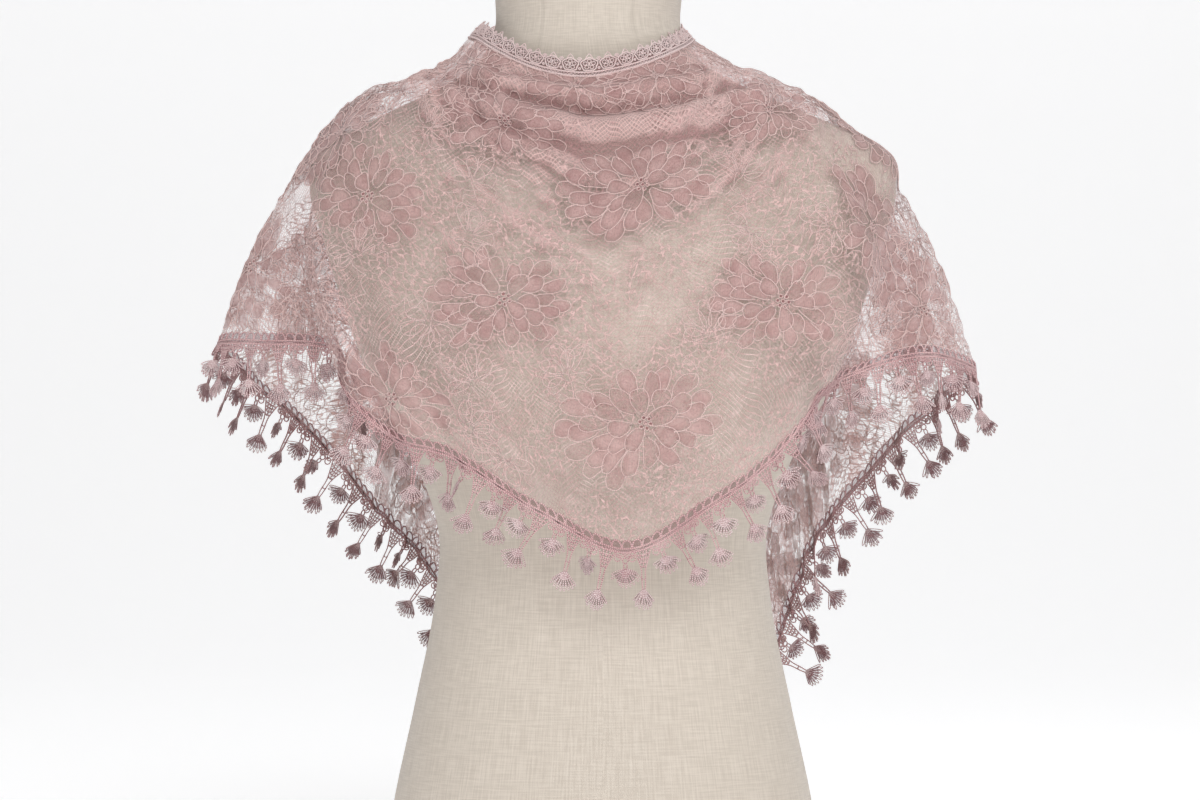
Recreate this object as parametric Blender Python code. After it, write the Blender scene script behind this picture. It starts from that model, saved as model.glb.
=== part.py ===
"""A triangle lace mantilla with a looped pendant fringe, worn back to front on a limbless dress form.

The cloth is one flat triangle. The middle of its long edge lies at the throat, the point hangs at the
front, and both ends go over the shoulders and hang down the back. Lengths are metres, +Z is up, the
form faces -Y and stands on the floor at the origin.
"""

import bpy
import numpy as np

for old in list(bpy.data.objects):
    bpy.data.objects.remove(old, do_unlink=True)

# Sizes of the form, the cloth wall, the border and the trim
form_height = 0.676
form_sides = 36
wall = 0.0011
seam_gap = 0.0003
form_clearance = 0.0009
border_pitch = 0.006
inner_rail = 0.0012
loop_length = 0.0048
braid_width = 0.0034
trim_height = 0.0150
trim_lean = 0.9
trim_pitch = 0.013

# The form's rings: height, middle in x, half width, depth to the front and to the back
form_rings = (
    # z, mid_x, half_width, front, back
    (0.000, 0.000, 0.1560, 0.105, 0.105),
    (0.071, 0.000, 0.1460, 0.100, 0.102),
    (0.141, 0.000, 0.1310, 0.092, 0.094),
    (0.211, 0.000, 0.1175, 0.086, 0.082),
    (0.260, 0.000, 0.1150, 0.086, 0.076),
    (0.305, 0.000, 0.1300, 0.096, 0.078),
    (0.365, 0.000, 0.1620, 0.120, 0.086),
    (0.400, 0.000, 0.1760, 0.125, 0.090),
    (0.455, 0.000, 0.1930, 0.110, 0.093),
    (0.500, 0.000, 0.2050, 0.089, 0.087),
    (0.520, -0.001, 0.2020, 0.079, 0.081),
    (0.535, -0.002, 0.1820, 0.072, 0.075),
    (0.550, -0.004, 0.1500, 0.067, 0.069),
    (0.565, -0.006, 0.1160, 0.064, 0.065),
    (0.580, -0.008, 0.0860, 0.063, 0.064),
    (0.600, -0.010, 0.0690, 0.063, 0.064),
    (0.640, -0.010, 0.0655, 0.062, 0.064),
    (0.676, -0.010, 0.0655, 0.062, 0.064),
)

# The cloth's sections from the left tip over the front to the right tip. Each is a row of five
# points from the long edge to the fringed edge, at the shares section_at of its length.
section_at = (0.0, 0.12, 0.30, 0.65, 1.0)
sections = (
    # name, long edge, collar, upper, lower, fringed edge
    ("tip_left", (-0.078, 0.109, 0.228), (-0.081, 0.110, 0.224),
     (-0.085, 0.110, 0.218), (-0.096, 0.112, 0.206), (-0.107, 0.113, 0.196)),
    ("tail_low_left", (-0.060, 0.107, 0.300), (-0.069, 0.108, 0.289),
     (-0.082, 0.109, 0.272), (-0.104, 0.112, 0.243), (-0.121, 0.113, 0.217)),
    ("tail_mid_left", (-0.044, 0.107, 0.380), (-0.059, 0.109, 0.360),
     (-0.080, 0.110, 0.330), (-0.112, 0.114, 0.285), (-0.136, 0.108, 0.240)),
    ("tail_top_left", (-0.028, 0.102, 0.490), (-0.051, 0.104, 0.467),
     (-0.084, 0.106, 0.430), (-0.134, 0.112, 0.350), (-0.153, 0.104, 0.258)),
    ("nape_left", (-0.022, 0.079, 0.598), (-0.050, 0.083, 0.560),
     (-0.100, 0.088, 0.510), (-0.158, 0.096, 0.400), (-0.175, 0.096, 0.283)),
    ("back_left", (-0.064, 0.058, 0.601), (-0.090, 0.062, 0.575),
     (-0.138, 0.062, 0.545), (-0.197, 0.072, 0.438), (-0.209, 0.080, 0.325)),
    ("wing_back_left", (-0.088, 0.030, 0.604), (-0.112, 0.034, 0.580),
     (-0.160, 0.030, 0.562), (-0.226, 0.034, 0.468), (-0.246, 0.048, 0.360)),
    ("wing_edge_left", (-0.094, 0.010, 0.605), (-0.116, 0.010, 0.581),
     (-0.165, 0.006, 0.567), (-0.232, 0.004, 0.480), (-0.268, 0.002, 0.387)),
    ("wing_front_left", (-0.093, -0.008, 0.604), (-0.115, -0.010, 0.580),
     (-0.164, -0.010, 0.566), (-0.218, -0.018, 0.483), (-0.228, -0.040, 0.389)),
    ("fold_in_left", (-0.091, -0.021, 0.6025), (-0.112, -0.026, 0.579),
     (-0.160, -0.024, 0.562), (-0.203, -0.036, 0.475), (-0.186, -0.050, 0.386)),
    ("fold_out_left", (-0.086, -0.035, 0.5995), (-0.108, -0.044, 0.576),
     (-0.150, -0.046, 0.556), (-0.200, -0.066, 0.462), (-0.174, -0.094, 0.358)),
    ("side_left", (-0.076, -0.051, 0.5920), (-0.096, -0.062, 0.572),
     (-0.130, -0.072, 0.540), (-0.162, -0.100, 0.425), (-0.143, -0.112, 0.326)),
    ("bust_left", (-0.057, -0.067, 0.5810), (-0.071, -0.082, 0.560),
     (-0.092, -0.094, 0.512), (-0.110, -0.124, 0.395), (-0.099, -0.124, 0.311)),
    ("front_left", (-0.034, -0.077, 0.5730), (-0.040, -0.090, 0.550),
     (-0.047, -0.108, 0.492), (-0.052, -0.136, 0.372), (-0.042, -0.131, 0.275)),
    ("throat", (-0.009, -0.081, 0.5705), (-0.006, -0.093, 0.544),
     (-0.001, -0.112, 0.480), (0.010, -0.138, 0.362), (0.018, -0.130, 0.2495)),
    ("front_right", (0.016, -0.077, 0.5755), (0.024, -0.090, 0.550),
     (0.038, -0.108, 0.492), (0.064, -0.135, 0.372), (0.070, -0.131, 0.278)),
    ("bust_right", (0.036, -0.067, 0.5830), (0.054, -0.080, 0.560),
     (0.082, -0.094, 0.510), (0.116, -0.120, 0.400), (0.113, -0.122, 0.310)),
    ("fold_out_right", (0.050, -0.051, 0.5905), (0.076, -0.062, 0.572),
     (0.120, -0.070, 0.540), (0.176, -0.092, 0.436), (0.145, -0.106, 0.352)),
    ("fold_in_right", (0.057, -0.035, 0.5950), (0.086, -0.042, 0.579),
     (0.138, -0.044, 0.550), (0.190, -0.055, 0.456), (0.164, -0.058, 0.366)),
    ("wing_front_right", (0.061, -0.018, 0.5990), (0.092, -0.022, 0.581),
     (0.147, -0.022, 0.557), (0.208, -0.028, 0.474), (0.222, -0.040, 0.381)),
    ("wing_edge_right", (0.064, 0.000, 0.6030), (0.095, 0.000, 0.583),
     (0.150, 0.000, 0.560), (0.219, -0.002, 0.478), (0.260, 0.002, 0.371)),
    ("wing_back_right", (0.062, 0.022, 0.6040), (0.094, 0.022, 0.582),
     (0.150, 0.024, 0.557), (0.215, 0.032, 0.463), (0.243, 0.048, 0.352)),
    ("back_right", (0.048, 0.054, 0.6015), (0.078, 0.058, 0.575),
     (0.128, 0.060, 0.540), (0.194, 0.074, 0.430), (0.214, 0.079, 0.322)),
    ("nape_right", (0.006, 0.079, 0.598), (0.036, 0.084, 0.560),
     (0.092, 0.088, 0.508), (0.160, 0.098, 0.392), (0.181, 0.099, 0.283)),
    ("tail_top_right", (0.018, 0.103, 0.490), (0.042, 0.105, 0.465),
     (0.080, 0.108, 0.425), (0.136, 0.114, 0.340), (0.154, 0.104, 0.247)),
    ("tail_mid_right", (0.044, 0.108, 0.370), (0.060, 0.110, 0.349),
     (0.084, 0.112, 0.316), (0.120, 0.116, 0.264), (0.142, 0.112, 0.212)),
    ("tail_low_right", (0.072, 0.110, 0.262), (0.081, 0.111, 0.251),
     (0.094, 0.112, 0.235), (0.116, 0.115, 0.207), (0.132, 0.114, 0.183)),
    ("tip_right", (0.096, 0.112, 0.176), (0.099, 0.113, 0.173),
     (0.104, 0.113, 0.168), (0.114, 0.114, 0.160), (0.124, 0.114, 0.153)),
)

# The folds that hang below the throat: share of the section at the throat, its change towards the
# sides, half width as a share, height, and the names of the sections where it ends
swags = (
    # at, rise, half_width, height, first, last
    (0.075, 0.07, 0.030, 0.0070, "wing_front_left", "wing_front_right"),
    (0.155, 0.05, 0.034, 0.0085, "fold_out_left", "wing_front_right"),
)

# The stretches of the one cloth, each a solid: name, first and last section, columns
stretches = (
    # name, first, last, columns
    ("lace_tail_left", "tip_left", "back_left", 12),
    ("lace_wing_left", "back_left", "fold_in_left", 13),
    ("lace_front", "fold_in_left", "fold_in_right", 27),
    ("lace_wing_right", "fold_in_right", "back_right", 13),
    ("lace_tail_right", "back_right", "tip_right", 13),
)
cloth_shares = (0.0, 0.04, 0.08, 0.115, 0.155, 0.195, 0.24, 0.31, 0.39, 0.47, 0.56, 0.66, 0.77, 0.89, 1.0)

# The stretches of the fringe: name, first and last section
fringes = (
    # name, first, last
    ("fringe_back_left", "tip_left", "wing_edge_left"),
    ("fringe_front_left", "wing_edge_left", "throat"),
    ("fringe_front_right", "throat", "wing_edge_right"),
    ("fringe_back_right", "wing_edge_right", "tip_right"),
)

# The pendants of one repeat of four loops: loop that holds it, then its rings from the root to the
# end as distance, half width and thickness
pendants = (
    # loop, ((distance, half_width, thickness), ...)
    (0, ((0.0140, 0.0013, 0.0011), (0.0260, 0.0012, 0.0011), (0.0340, 0.0064, 0.0014),
         (0.0400, 0.0040, 0.0011))),
    (2, ((0.0100, 0.0013, 0.0011), (0.0175, 0.0066, 0.0014), (0.0235, 0.0044, 0.0011))),
)

# The stretches of the trim along the long edge: name, first and last section
trims = (
    # name, first, last
    ("trim_back_left", "tip_left", "nape_left"),
    ("trim_neck", "nape_left", "nape_right"),
    ("trim_back_right", "nape_right", "tip_right"),
)

colours = {
    "form": (0.60, 0.54, 0.46, 1.0),
    "lace": (0.62, 0.38, 0.37, 1.0),
    "fringe": (0.52, 0.29, 0.29, 1.0),
    "trim": (0.66, 0.42, 0.41, 1.0),
}


def hermite(knots, values, at):
    """The smooth curve through values at knots, read at the places at."""
    knots = np.asarray(knots, float)
    values = np.asarray(values, float)
    at = np.asarray(at, float)
    step = np.diff(knots).reshape((-1,) + (1,) * (values.ndim - 1))
    slope = np.diff(values, axis=0) / step
    inner = (slope[:-1] * step[1:] + slope[1:] * step[:-1]) / (step[1:] + step[:-1])
    first = 1.5 * slope[:1] - 0.5 * inner[:1]
    last = 1.5 * slope[-1:] - 0.5 * inner[-1:]
    tangent = np.concatenate([first, inner, last])
    cell = np.clip(np.searchsorted(knots, at, side="right") - 1, 0, len(knots) - 2)
    wide = (knots[cell + 1] - knots[cell]).reshape((-1,) + (1,) * (values.ndim - 1))
    f = ((at - knots[cell]) / (knots[cell + 1] - knots[cell])).reshape(wide.shape)
    return (
        (2 * f**3 - 3 * f**2 + 1) * values[cell]
        + (f**3 - 2 * f**2 + f) * wide * tangent[cell]
        + (3 * f**2 - 2 * f**3) * values[cell + 1]
        + (f**3 - f**2) * wide * tangent[cell + 1]
    )


ring_table = np.array(form_rings)
form_heights = np.concatenate([
    np.linspace(0.0, 0.211, 5), np.linspace(0.25, 0.47, 7), np.linspace(0.485, 0.61, 12),
    [0.64, form_height]])
form_sizes = hermite(ring_table[:, 0], ring_table[:, 1:], form_heights).T
row_names = [row[0] for row in sections]
row_points = np.array([row[1:] for row in sections])
row_steps = np.linalg.norm(np.diff(row_points, axis=0), axis=2).mean(axis=1)
row_at = np.concatenate([[0.0], np.cumsum(row_steps)])


def place(name):
    """Where a named section lies along the cloth."""
    return float(row_at[row_names.index(name)])


def form_excess(points):
    """How far points lie outside the form's skin, as a share of its size there: 0 on the skin."""
    mid, half, front, back = (np.interp(points[:, 2], form_heights, size) for size in form_sizes)
    x = np.abs(points[:, 0] - mid) / half
    y = np.abs(points[:, 1]) / np.where(points[:, 1] < 0, front, back)
    return (x**2.15 + y**2.15) ** (1 / 2.15) - 1


def clear_of_form(points, clearance):
    """The points, moved out along the form's slope until they clear its skin."""
    points = np.array(points, float)
    shape = points.shape
    points = points.reshape(-1, 3)
    for _ in range(6):
        here = form_excess(points)
        slope = np.stack(
            [(form_excess(points + step) - form_excess(points - step)) / 0.001
             for step in np.eye(3) * 0.0005], axis=1)
        steep = np.linalg.norm(slope, axis=1)
        away = here / steep
        move = np.clip(clearance - away, 0, 0.02)
        points = points + slope / steep[:, None] * move[:, None]
    return points.reshape(shape)


def settled(grid, clearance):
    """The grid, moved out until the middles of its faces and edges clear the form as well."""
    grid = np.array(grid, float)
    for _ in range(16):
        lift = np.zeros(grid.shape)
        reach = np.zeros(grid.shape[:2])
        for a, b in ((0, 1), (1, 0), (1, 1), (1, -1)):
            rows, columns = grid.shape[:2]
            one = grid[:rows - a, max(-b, 0):columns - max(b, 0)]
            two = grid[a:, max(b, 0):columns - max(-b, 0)]
            for share in (0.25, 0.5, 0.75):
                spot = one * (1 - share) + two * share
                move = clear_of_form(spot, clearance) - spot
                size = np.linalg.norm(move, axis=2)
                for target in (
                    (slice(0, rows - a), slice(max(-b, 0), columns - max(b, 0))),
                    (slice(a, rows), slice(max(b, 0), columns - max(-b, 0))),
                ):
                    more = size > reach[target]
                    lift[target][more] = move[more]
                    reach[target][more] = size[more]
        if reach.max() < 1e-5:
            break
        grid += lift
    return grid


def smooth_step(a, b, x):
    f = np.clip((x - a) / (b - a), 0, 1)
    return f * f * (3 - 2 * f)


def plain_middle(s, t):
    """The surface through the rows of sections, without its hanging folds."""
    rows = hermite(row_at, row_points, np.clip(s, 0, row_at[-1]))
    return hermite(section_at, rows.transpose(1, 0, 2), np.clip(t, 0, 1)).transpose(1, 0, 2)


def cloth_middle(s, t):
    """The cloth's middle surface on a grid of places s along it and shares t down its sections."""
    middle = plain_middle(s, t)
    across = plain_middle(s + 0.004, t) - plain_middle(s - 0.004, t)
    down = plain_middle(s, t + 0.01) - plain_middle(s, t - 0.01)
    outward = np.cross(down, across)
    outward /= np.linalg.norm(outward, axis=2, keepdims=True)
    throat = place("throat")
    for at, rise, half, height, first, last in swags:
        a, b = place(first), place(last)
        side = np.clip((s - throat) / np.where(s < throat, throat - a, b - throat), -1, 1)
        fade = (1 - side**2) * ((s > a) & (s < b))
        ridge = np.exp(-(((t[None, :] - at - rise * side[:, None] ** 2) / half) ** 2))
        middle = middle + outward * (ridge * fade[:, None] * height)[..., None]
    return clear_of_form(middle, wall / 2 + form_clearance)


def normals(grid):
    across = np.gradient(grid, axis=0)
    down = np.gradient(grid, axis=1)
    normal = np.cross(down, across)
    return normal / np.linalg.norm(normal, axis=2, keepdims=True)


def section_slope(s, t):
    """The slope down the sections at one share t, as a direction and metres per share."""
    step = 0.01
    both = cloth_middle(s, np.array([max(t - step, 0), min(t + step, 1)]))
    slope = (both[:, 1] - both[:, 0]) / (min(t + step, 1) - max(t - step, 0))
    length = np.linalg.norm(slope, axis=1)
    return slope / length[:, None], length


def even_places(first, last, t, pitch):
    """Places along the cloth whose points at share t lie pitch apart, as nearly as whole steps allow."""
    s = np.linspace(first, last, 1200)
    line = cloth_middle(s, np.array([t, t]))[:, 0]
    run = np.concatenate([[0], np.cumsum(np.linalg.norm(np.diff(line, axis=0), axis=1))])
    count = max(2, int(round(run[-1] / pitch)))
    return np.interp(np.linspace(0, run[-1], count + 1), run, s)


def material(name, colour):
    made = bpy.data.materials.new(name)
    made.use_nodes = True
    shader = made.node_tree.nodes["Principled BSDF"]
    shader.inputs["Base Color"].default_value = colour
    shader.inputs["Roughness"].default_value = 0.85
    made.diffuse_color = colour
    return made


def add_object(name, points, faces, colour):
    mesh = bpy.data.meshes.new(name)
    mesh.from_pydata([tuple(p) for p in points], [], [tuple(int(i) for i in f) for f in faces])
    mesh.validate()
    mesh.update()
    made = bpy.data.objects.new(name, mesh)
    bpy.context.scene.collection.objects.link(made)
    mesh.materials.append(material(name + "_look", colour))
    return made


def walled(grid, thick):
    """Points and faces of a closed wall of this thickness round a grid's surface."""
    normal = normals(grid)
    rows, columns = grid.shape[:2]
    outer = (grid + normal * thick / 2).reshape(-1, 3)
    inner = (grid - normal * thick / 2).reshape(-1, 3)
    index = np.arange(rows * columns).reshape(rows, columns)
    under = index + rows * columns
    a, b = index[:-1, :-1].ravel(), index[1:, :-1].ravel()
    c, d = index[1:, 1:].ravel(), index[:-1, 1:].ravel()
    faces = [np.stack([a, d, c, b], axis=1)]
    faces.append(np.stack([a, b, c, d], axis=1) + rows * columns)
    for line, turned in ((index[:, 0], False), (index[:, -1], True),
                         (index[0, :], True), (index[-1, :], False)):
        low = line + rows * columns
        side = np.stack([line[:-1], line[1:], low[1:], low[:-1]], axis=1)
        faces.append(side[:, ::-1] if turned else side)
    return np.concatenate([outer, inner]), np.concatenate(faces)


def build_form():
    mid, half, front, back = form_sizes
    turn = np.linspace(0, 2 * np.pi, form_sides, endpoint=False)
    wide = np.sign(np.cos(turn)) * np.abs(np.cos(turn)) ** (2 / 2.15)
    deep = np.sign(np.sin(turn)) * np.abs(np.sin(turn)) ** (2 / 2.15)
    depth = np.where(deep[None, :] < 0, front[:, None], back[:, None])
    rings = np.stack([mid[:, None] + half[:, None] * wide[None, :], depth * deep[None, :],
                      np.repeat(form_heights[:, None], form_sides, axis=1)], axis=2)
    count = len(form_heights)
    index = np.arange(count * form_sides).reshape(count, form_sides)
    after = np.roll(index, -1, axis=1)
    faces = [tuple(f) for f in np.stack(
        [index[:-1], after[:-1], after[1:], index[1:]], axis=2).reshape(-1, 4)]
    faces.append(tuple(index[0, ::-1]))
    faces.append(tuple(index[-1]))
    add_object("form_torso", rings.reshape(-1, 3), faces, colours["form"])


def share_from_hem(s, distance):
    """The share t of each section that lies this distance above its fringed edge."""
    return 1 - distance / section_slope(s, 0.99)[1]


border_width = inner_rail + loop_length + braid_width


def stretch_columns(first, last, columns):
    """Places of a stretch's columns, and the share of each section where its wall starts and ends."""
    a = place(first) + (seam_gap if first != row_names[0] else 0)
    b = place(last) - (seam_gap if last != row_names[-1] else 0)
    s = even_places(a, b, 0.85, 0.01)
    s = np.interp(np.linspace(0, 1, columns + 1), np.linspace(0, 1, len(s)), s)
    # The wall's straight edge pieces cut the corners of the curved edge, so they stay this much further in
    fine = np.linspace(a, b, 20 * columns + 1)
    line = cloth_middle(fine, np.array([0.95, 0.96]))[:, 0]
    run = np.linalg.norm(np.diff(line, axis=0), axis=1)
    along = np.diff(line, axis=0) / run[:, None]
    bend = np.linalg.norm(np.diff(along, axis=0), axis=1) / run[1:]
    bend = np.convolve(np.pad(bend, 8, mode="edge"), np.ones(17) / 17, mode="valid")
    place_run = np.interp(s, fine[1:], np.cumsum(run))
    chord = np.maximum(np.gradient(place_run), 0.004)
    corner = np.interp(s, fine[1:-1], bend) * chord**2 / 8
    end = share_from_hem(s, border_width + seam_gap * 1.6 + corner * 4)
    begin = wall * 0.85 / section_slope(s, 0.01)[1]
    return s, begin, end


def build_cloth():
    """All stretches, settled on the form together so that their seams stay even."""
    parts = [stretch_columns(first, last, columns) for _, first, last, columns in stretches]
    s = np.concatenate([part[0] for part in parts])
    begin = np.concatenate([part[1] for part in parts])
    end = np.concatenate([part[2] for part in parts])
    fine_share = np.linspace(0, 1, 241)
    dense = cloth_middle(s, fine_share)
    at = begin[:, None] + np.array(cloth_shares)[None, :] * (end - begin)[:, None]
    grid = np.stack([
        np.stack([np.interp(at[i], fine_share, dense[i, :, k]) for k in range(3)], axis=1)
        for i in range(len(s))])
    grid = settled(grid, wall / 2 + form_clearance - 0.0001)
    start = 0
    for (name, *_), part in zip(stretches, parts):
        stop = start + len(part[0])
        add_object(name, *walled(grid[start:stop], wall), colours["lace"])
        start = stop


def edge_frame(s):
    """The fringed edge with its directions along, down and out of the cloth."""
    line = cloth_middle(s, np.array([0.98, 1.0]))[:, 1]
    down = section_slope(s, 0.99)[0]
    along = np.gradient(line, axis=0)
    along /= np.linalg.norm(along, axis=1, keepdims=True)
    out = np.cross(down, along)
    out /= np.linalg.norm(out, axis=1, keepdims=True)
    return line, along, down, out


def build_fringe(name, first, last):
    a, b = place(first), place(last)
    gap = seam_gap / 2
    a += gap if first != row_names[0] else 0
    b -= gap if last != row_names[-1] else 0
    s = even_places(a, b, 1.0, border_pitch)
    cells = len(s) - 1
    inside = np.interp(np.arange(0, 2 * cells + 1) / 2, np.arange(cells + 1), s)
    line, along, down, out = edge_frame(inside)
    rail_top = line - down * border_width
    loop_top = line - down * (loop_length + braid_width)
    loop_low = line - down * braid_width
    points = []

    def put(spot, normal):
        points.append(spot + normal * wall / 2)
        points.append(spot - normal * wall / 2)
        return len(points) - 2

    top, low, corners = [], [], []
    for i in range(cells + 1):
        top.append(put(rail_top[2 * i], out[2 * i]))
        low.append(put(line[2 * i], out[2 * i]))
    half_hole = 0.40
    for i in range(cells):
        lines = []
        for spot in (loop_top, loop_low):
            for side in (-half_hole, half_hole):
                f = 0.5 + side
                begin, end = spot[2 * i], spot[2 * i + 2]
                middle = spot[2 * i + 1]
                here = (1 - f) ** 2 * begin + f**2 * end + 2 * f * (1 - f) * (
                    2 * middle - (begin + end) / 2)
                lines.append(put(here, out[2 * i + 1]))
        corners.append(lines)
    faces = []

    def both(*ring):
        faces.append(list(ring))
        faces.append([i + 1 for i in reversed(ring)])

    for i in range(cells):
        tl, tr, bl, br = corners[i]
        both(top[i], tl, tr)
        both(top[i], tr, top[i + 1])
        both(low[i + 1], br, bl)
        both(low[i + 1], bl, low[i])
        if i == 0:
            both(top[0], low[0], bl, tl)
            faces.append([top[0], top[0] + 1, low[0] + 1, low[0]])
        if i == cells - 1:
            both(top[-1], tr, br, low[-1])
            faces.append([top[-1] + 1, top[-1], low[-1], low[-1] + 1])
        else:
            nl, nb = corners[i + 1][0], corners[i + 1][2]
            both(top[i + 1], tr, nl)
            both(tr, br, nb, nl)
            both(low[i + 1], nb, br)
        for u, v in ((tl, bl), (bl, br), (br, tr), (tr, tl)):
            faces.append([u, v, v + 1, u + 1])
        faces.append([top[i], top[i + 1], top[i + 1] + 1, top[i] + 1])
    shapes = {loop: rings for loop, rings in pendants}
    for i in range(cells):
        root = [low[i], low[i] + 1, low[i + 1] + 1, low[i + 1]]
        rings = shapes.get(i % 4)
        if rings is None or i == 0 or i == cells - 1:
            faces.append(root)
            continue
        spot = line[2 * i + 1]
        square = np.cross(along[2 * i + 1], out[2 * i + 1])
        hang = square * 0.75 + np.array([0.0, 0.0, -0.25])
        hang /= np.linalg.norm(hang)
        side = along[2 * i + 1] - hang * (along[2 * i + 1] @ hang)
        side /= np.linalg.norm(side)
        normal = np.cross(hang, side)
        last_ring = root
        for distance, half, thick in rings:
            middle = spot + hang * distance
            ring = []
            for u, v in ((-1, 1), (-1, -1), (1, -1), (1, 1)):
                ring.append(len(points))
                points.append(middle + side * half * u + normal * thick / 2 * v)
            for k in range(4):
                n = (k + 1) % 4
                faces.append([last_ring[k], last_ring[n], ring[n], ring[k]])
            last_ring = ring
        faces.append(last_ring)
    add_object(name, points, faces, colours["fringe"])


def build_trim(name, first, last):
    a, b = place(first), place(last)
    gap = seam_gap / 2
    a += gap if first != row_names[0] else 0
    b -= gap if last != row_names[-1] else 0
    around_neck = name == "trim_neck"
    s = even_places(a, b, 0.0, trim_pitch / 2 if around_neck else trim_pitch)
    line = cloth_middle(s, np.array([0.0, 0.02]))[:, 0]
    up = -section_slope(s, 0.02)[0]
    nape_left, nape_right = place("nape_left"), place("nape_right")
    middle_tail = 0.05
    round_neck = smooth_step(nape_left - middle_tail, nape_left + middle_tail, s) * (
        1 - smooth_step(nape_right - middle_tail, nape_right + middle_tail, s))
    share = (1 - round_neck * 0.86)[:, None]
    up = up * share + np.array([0.0, 0.0, 1.0]) * (1 - share)
    up /= np.linalg.norm(up, axis=1, keepdims=True)
    inward = np.array([form_rings[-1][1], 0.0, 0.0]) - line * np.array([1.0, 1.0, 0.0])
    inward /= np.linalg.norm(inward, axis=1, keepdims=True)
    up += inward * (trim_lean * round_neck * np.abs(inward[:, 0]))[:, None]
    up /= np.linalg.norm(up, axis=1, keepdims=True)
    peak = np.where(np.arange(len(s)) % 2 == 1, 1.0, 0.80) if around_neck else np.ones(len(s))
    start = line + up * seam_gap * 2
    end = line + up * (trim_height * peak)[:, None]
    grid = np.stack([end, start], axis=1)
    grid = settled(clear_of_form(grid, wall / 2 + form_clearance), wall / 2 + form_clearance - 0.0001)
    add_object(name, *walled(grid, wall), colours["trim"])


build_form()
build_cloth()
for fringe in fringes:
    build_fringe(*fringe)
for trim in trims:
    build_trim(*trim)
print("mantilla on a form built")
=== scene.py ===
# The looks of a triangle lace mantilla with a looped pendant fringe, worn on a linen dress form.
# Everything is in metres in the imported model's frame: +Z is up and the form faces -Y.

import math

import bpy
import numpy as np
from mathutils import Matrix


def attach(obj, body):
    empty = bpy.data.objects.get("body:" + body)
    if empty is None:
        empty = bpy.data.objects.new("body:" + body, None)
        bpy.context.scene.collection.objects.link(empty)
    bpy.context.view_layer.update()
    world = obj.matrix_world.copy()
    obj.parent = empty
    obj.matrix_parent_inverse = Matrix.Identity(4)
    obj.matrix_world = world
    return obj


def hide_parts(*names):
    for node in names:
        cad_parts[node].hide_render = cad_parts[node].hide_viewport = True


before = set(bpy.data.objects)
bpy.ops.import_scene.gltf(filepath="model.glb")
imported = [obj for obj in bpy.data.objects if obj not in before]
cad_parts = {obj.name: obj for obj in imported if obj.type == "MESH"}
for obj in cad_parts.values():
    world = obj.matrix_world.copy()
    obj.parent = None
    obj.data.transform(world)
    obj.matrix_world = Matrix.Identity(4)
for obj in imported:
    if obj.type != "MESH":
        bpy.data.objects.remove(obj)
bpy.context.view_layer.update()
scene = bpy.context.scene
seed = 20

# The camera and the plain studio
studio = {
    "cameraPlace": (-0.002, -2.6, 0.351),
    "viewWidth": 0.84,
    "backdropColour": (0.93, 0.93, 0.935, 1.0),
    "backdropGlow": 0.30,
    "ambient": 0.36,
    "sweepReach": 4.0,
    "sweepStart": 2.0,
    "sweepRadius": 1.2,
    "sweepTop": 5.0,
    "lights": (
        # name, place, turn in degrees, width and height, power
        ("keyLight", (0.7, -2.4, 1.75), (60, 0, 16), (2.0, 1.7), 48.0),
        ("fillLight", (-1.7, -1.9, 1.0), (74, 0, -42), (1.4, 1.6), 5.5),
        ("topLight", (0.0, 0.6, 2.4), (-14, 0, 0), (2.0, 1.2), 13.0),
    ),
}


def addCamera(values):
    # A level camera in front of the form, whose lens takes in viewWidth at the form's middle.
    lens = bpy.data.cameras.new("camera")
    lens.sensor_width = 36.0
    lens.lens = 36.0 * -values["cameraPlace"][1] / values["viewWidth"]
    lens.clip_end = 30.0
    made = bpy.data.objects.new("camera", lens)
    made.location = values["cameraPlace"]
    made.rotation_euler = (math.pi / 2, 0.0, 0.0)
    scene.collection.objects.link(made)
    scene.camera = made


def addLight(name, place, turn, size, power):
    # A soft box of this size, turned by Euler angles in degrees.
    lamp = bpy.data.lights.new(name, "AREA")
    lamp.shape = "RECTANGLE"
    lamp.size, lamp.size_y = size
    lamp.energy = power
    made = bpy.data.objects.new(name, lamp)
    made.location = place
    made.rotation_euler = [math.radians(angle) for angle in turn]
    scene.collection.objects.link(made)


def addMesh(name, points, faces, material, uv=None, smooth=True, values=None):
    # One mesh object from an array of points and an array of quads. uv holds a place for each
    # point, and values holds a number for each point under each name.
    mesh = bpy.data.meshes.new(name)
    points = np.ascontiguousarray(points, np.float32)
    faces = np.ascontiguousarray(faces, np.int32)
    mesh.vertices.add(len(points))
    mesh.vertices.foreach_set("co", points.ravel())
    mesh.loops.add(faces.size)
    mesh.loops.foreach_set("vertex_index", faces.ravel())
    mesh.polygons.add(len(faces))
    mesh.polygons.foreach_set("loop_start", np.arange(0, faces.size, 4, dtype=np.int32))
    mesh.polygons.foreach_set("use_smooth", np.full(len(faces), smooth))
    mesh.update(calc_edges=True)
    if uv is not None:
        layer = mesh.uv_layers.new(name="flat")
        layer.data.foreach_set("uv", np.ascontiguousarray(uv[faces.ravel()], np.float32).ravel())
    for key, numbers in (values or {}).items():
        mesh.attributes.new(key, "FLOAT", "POINT").data.foreach_set(
            "value", np.ascontiguousarray(numbers, np.float32).ravel())
    mesh.materials.append(material)
    made = bpy.data.objects.new(name, mesh)
    scene.collection.objects.link(made)
    return made


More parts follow.
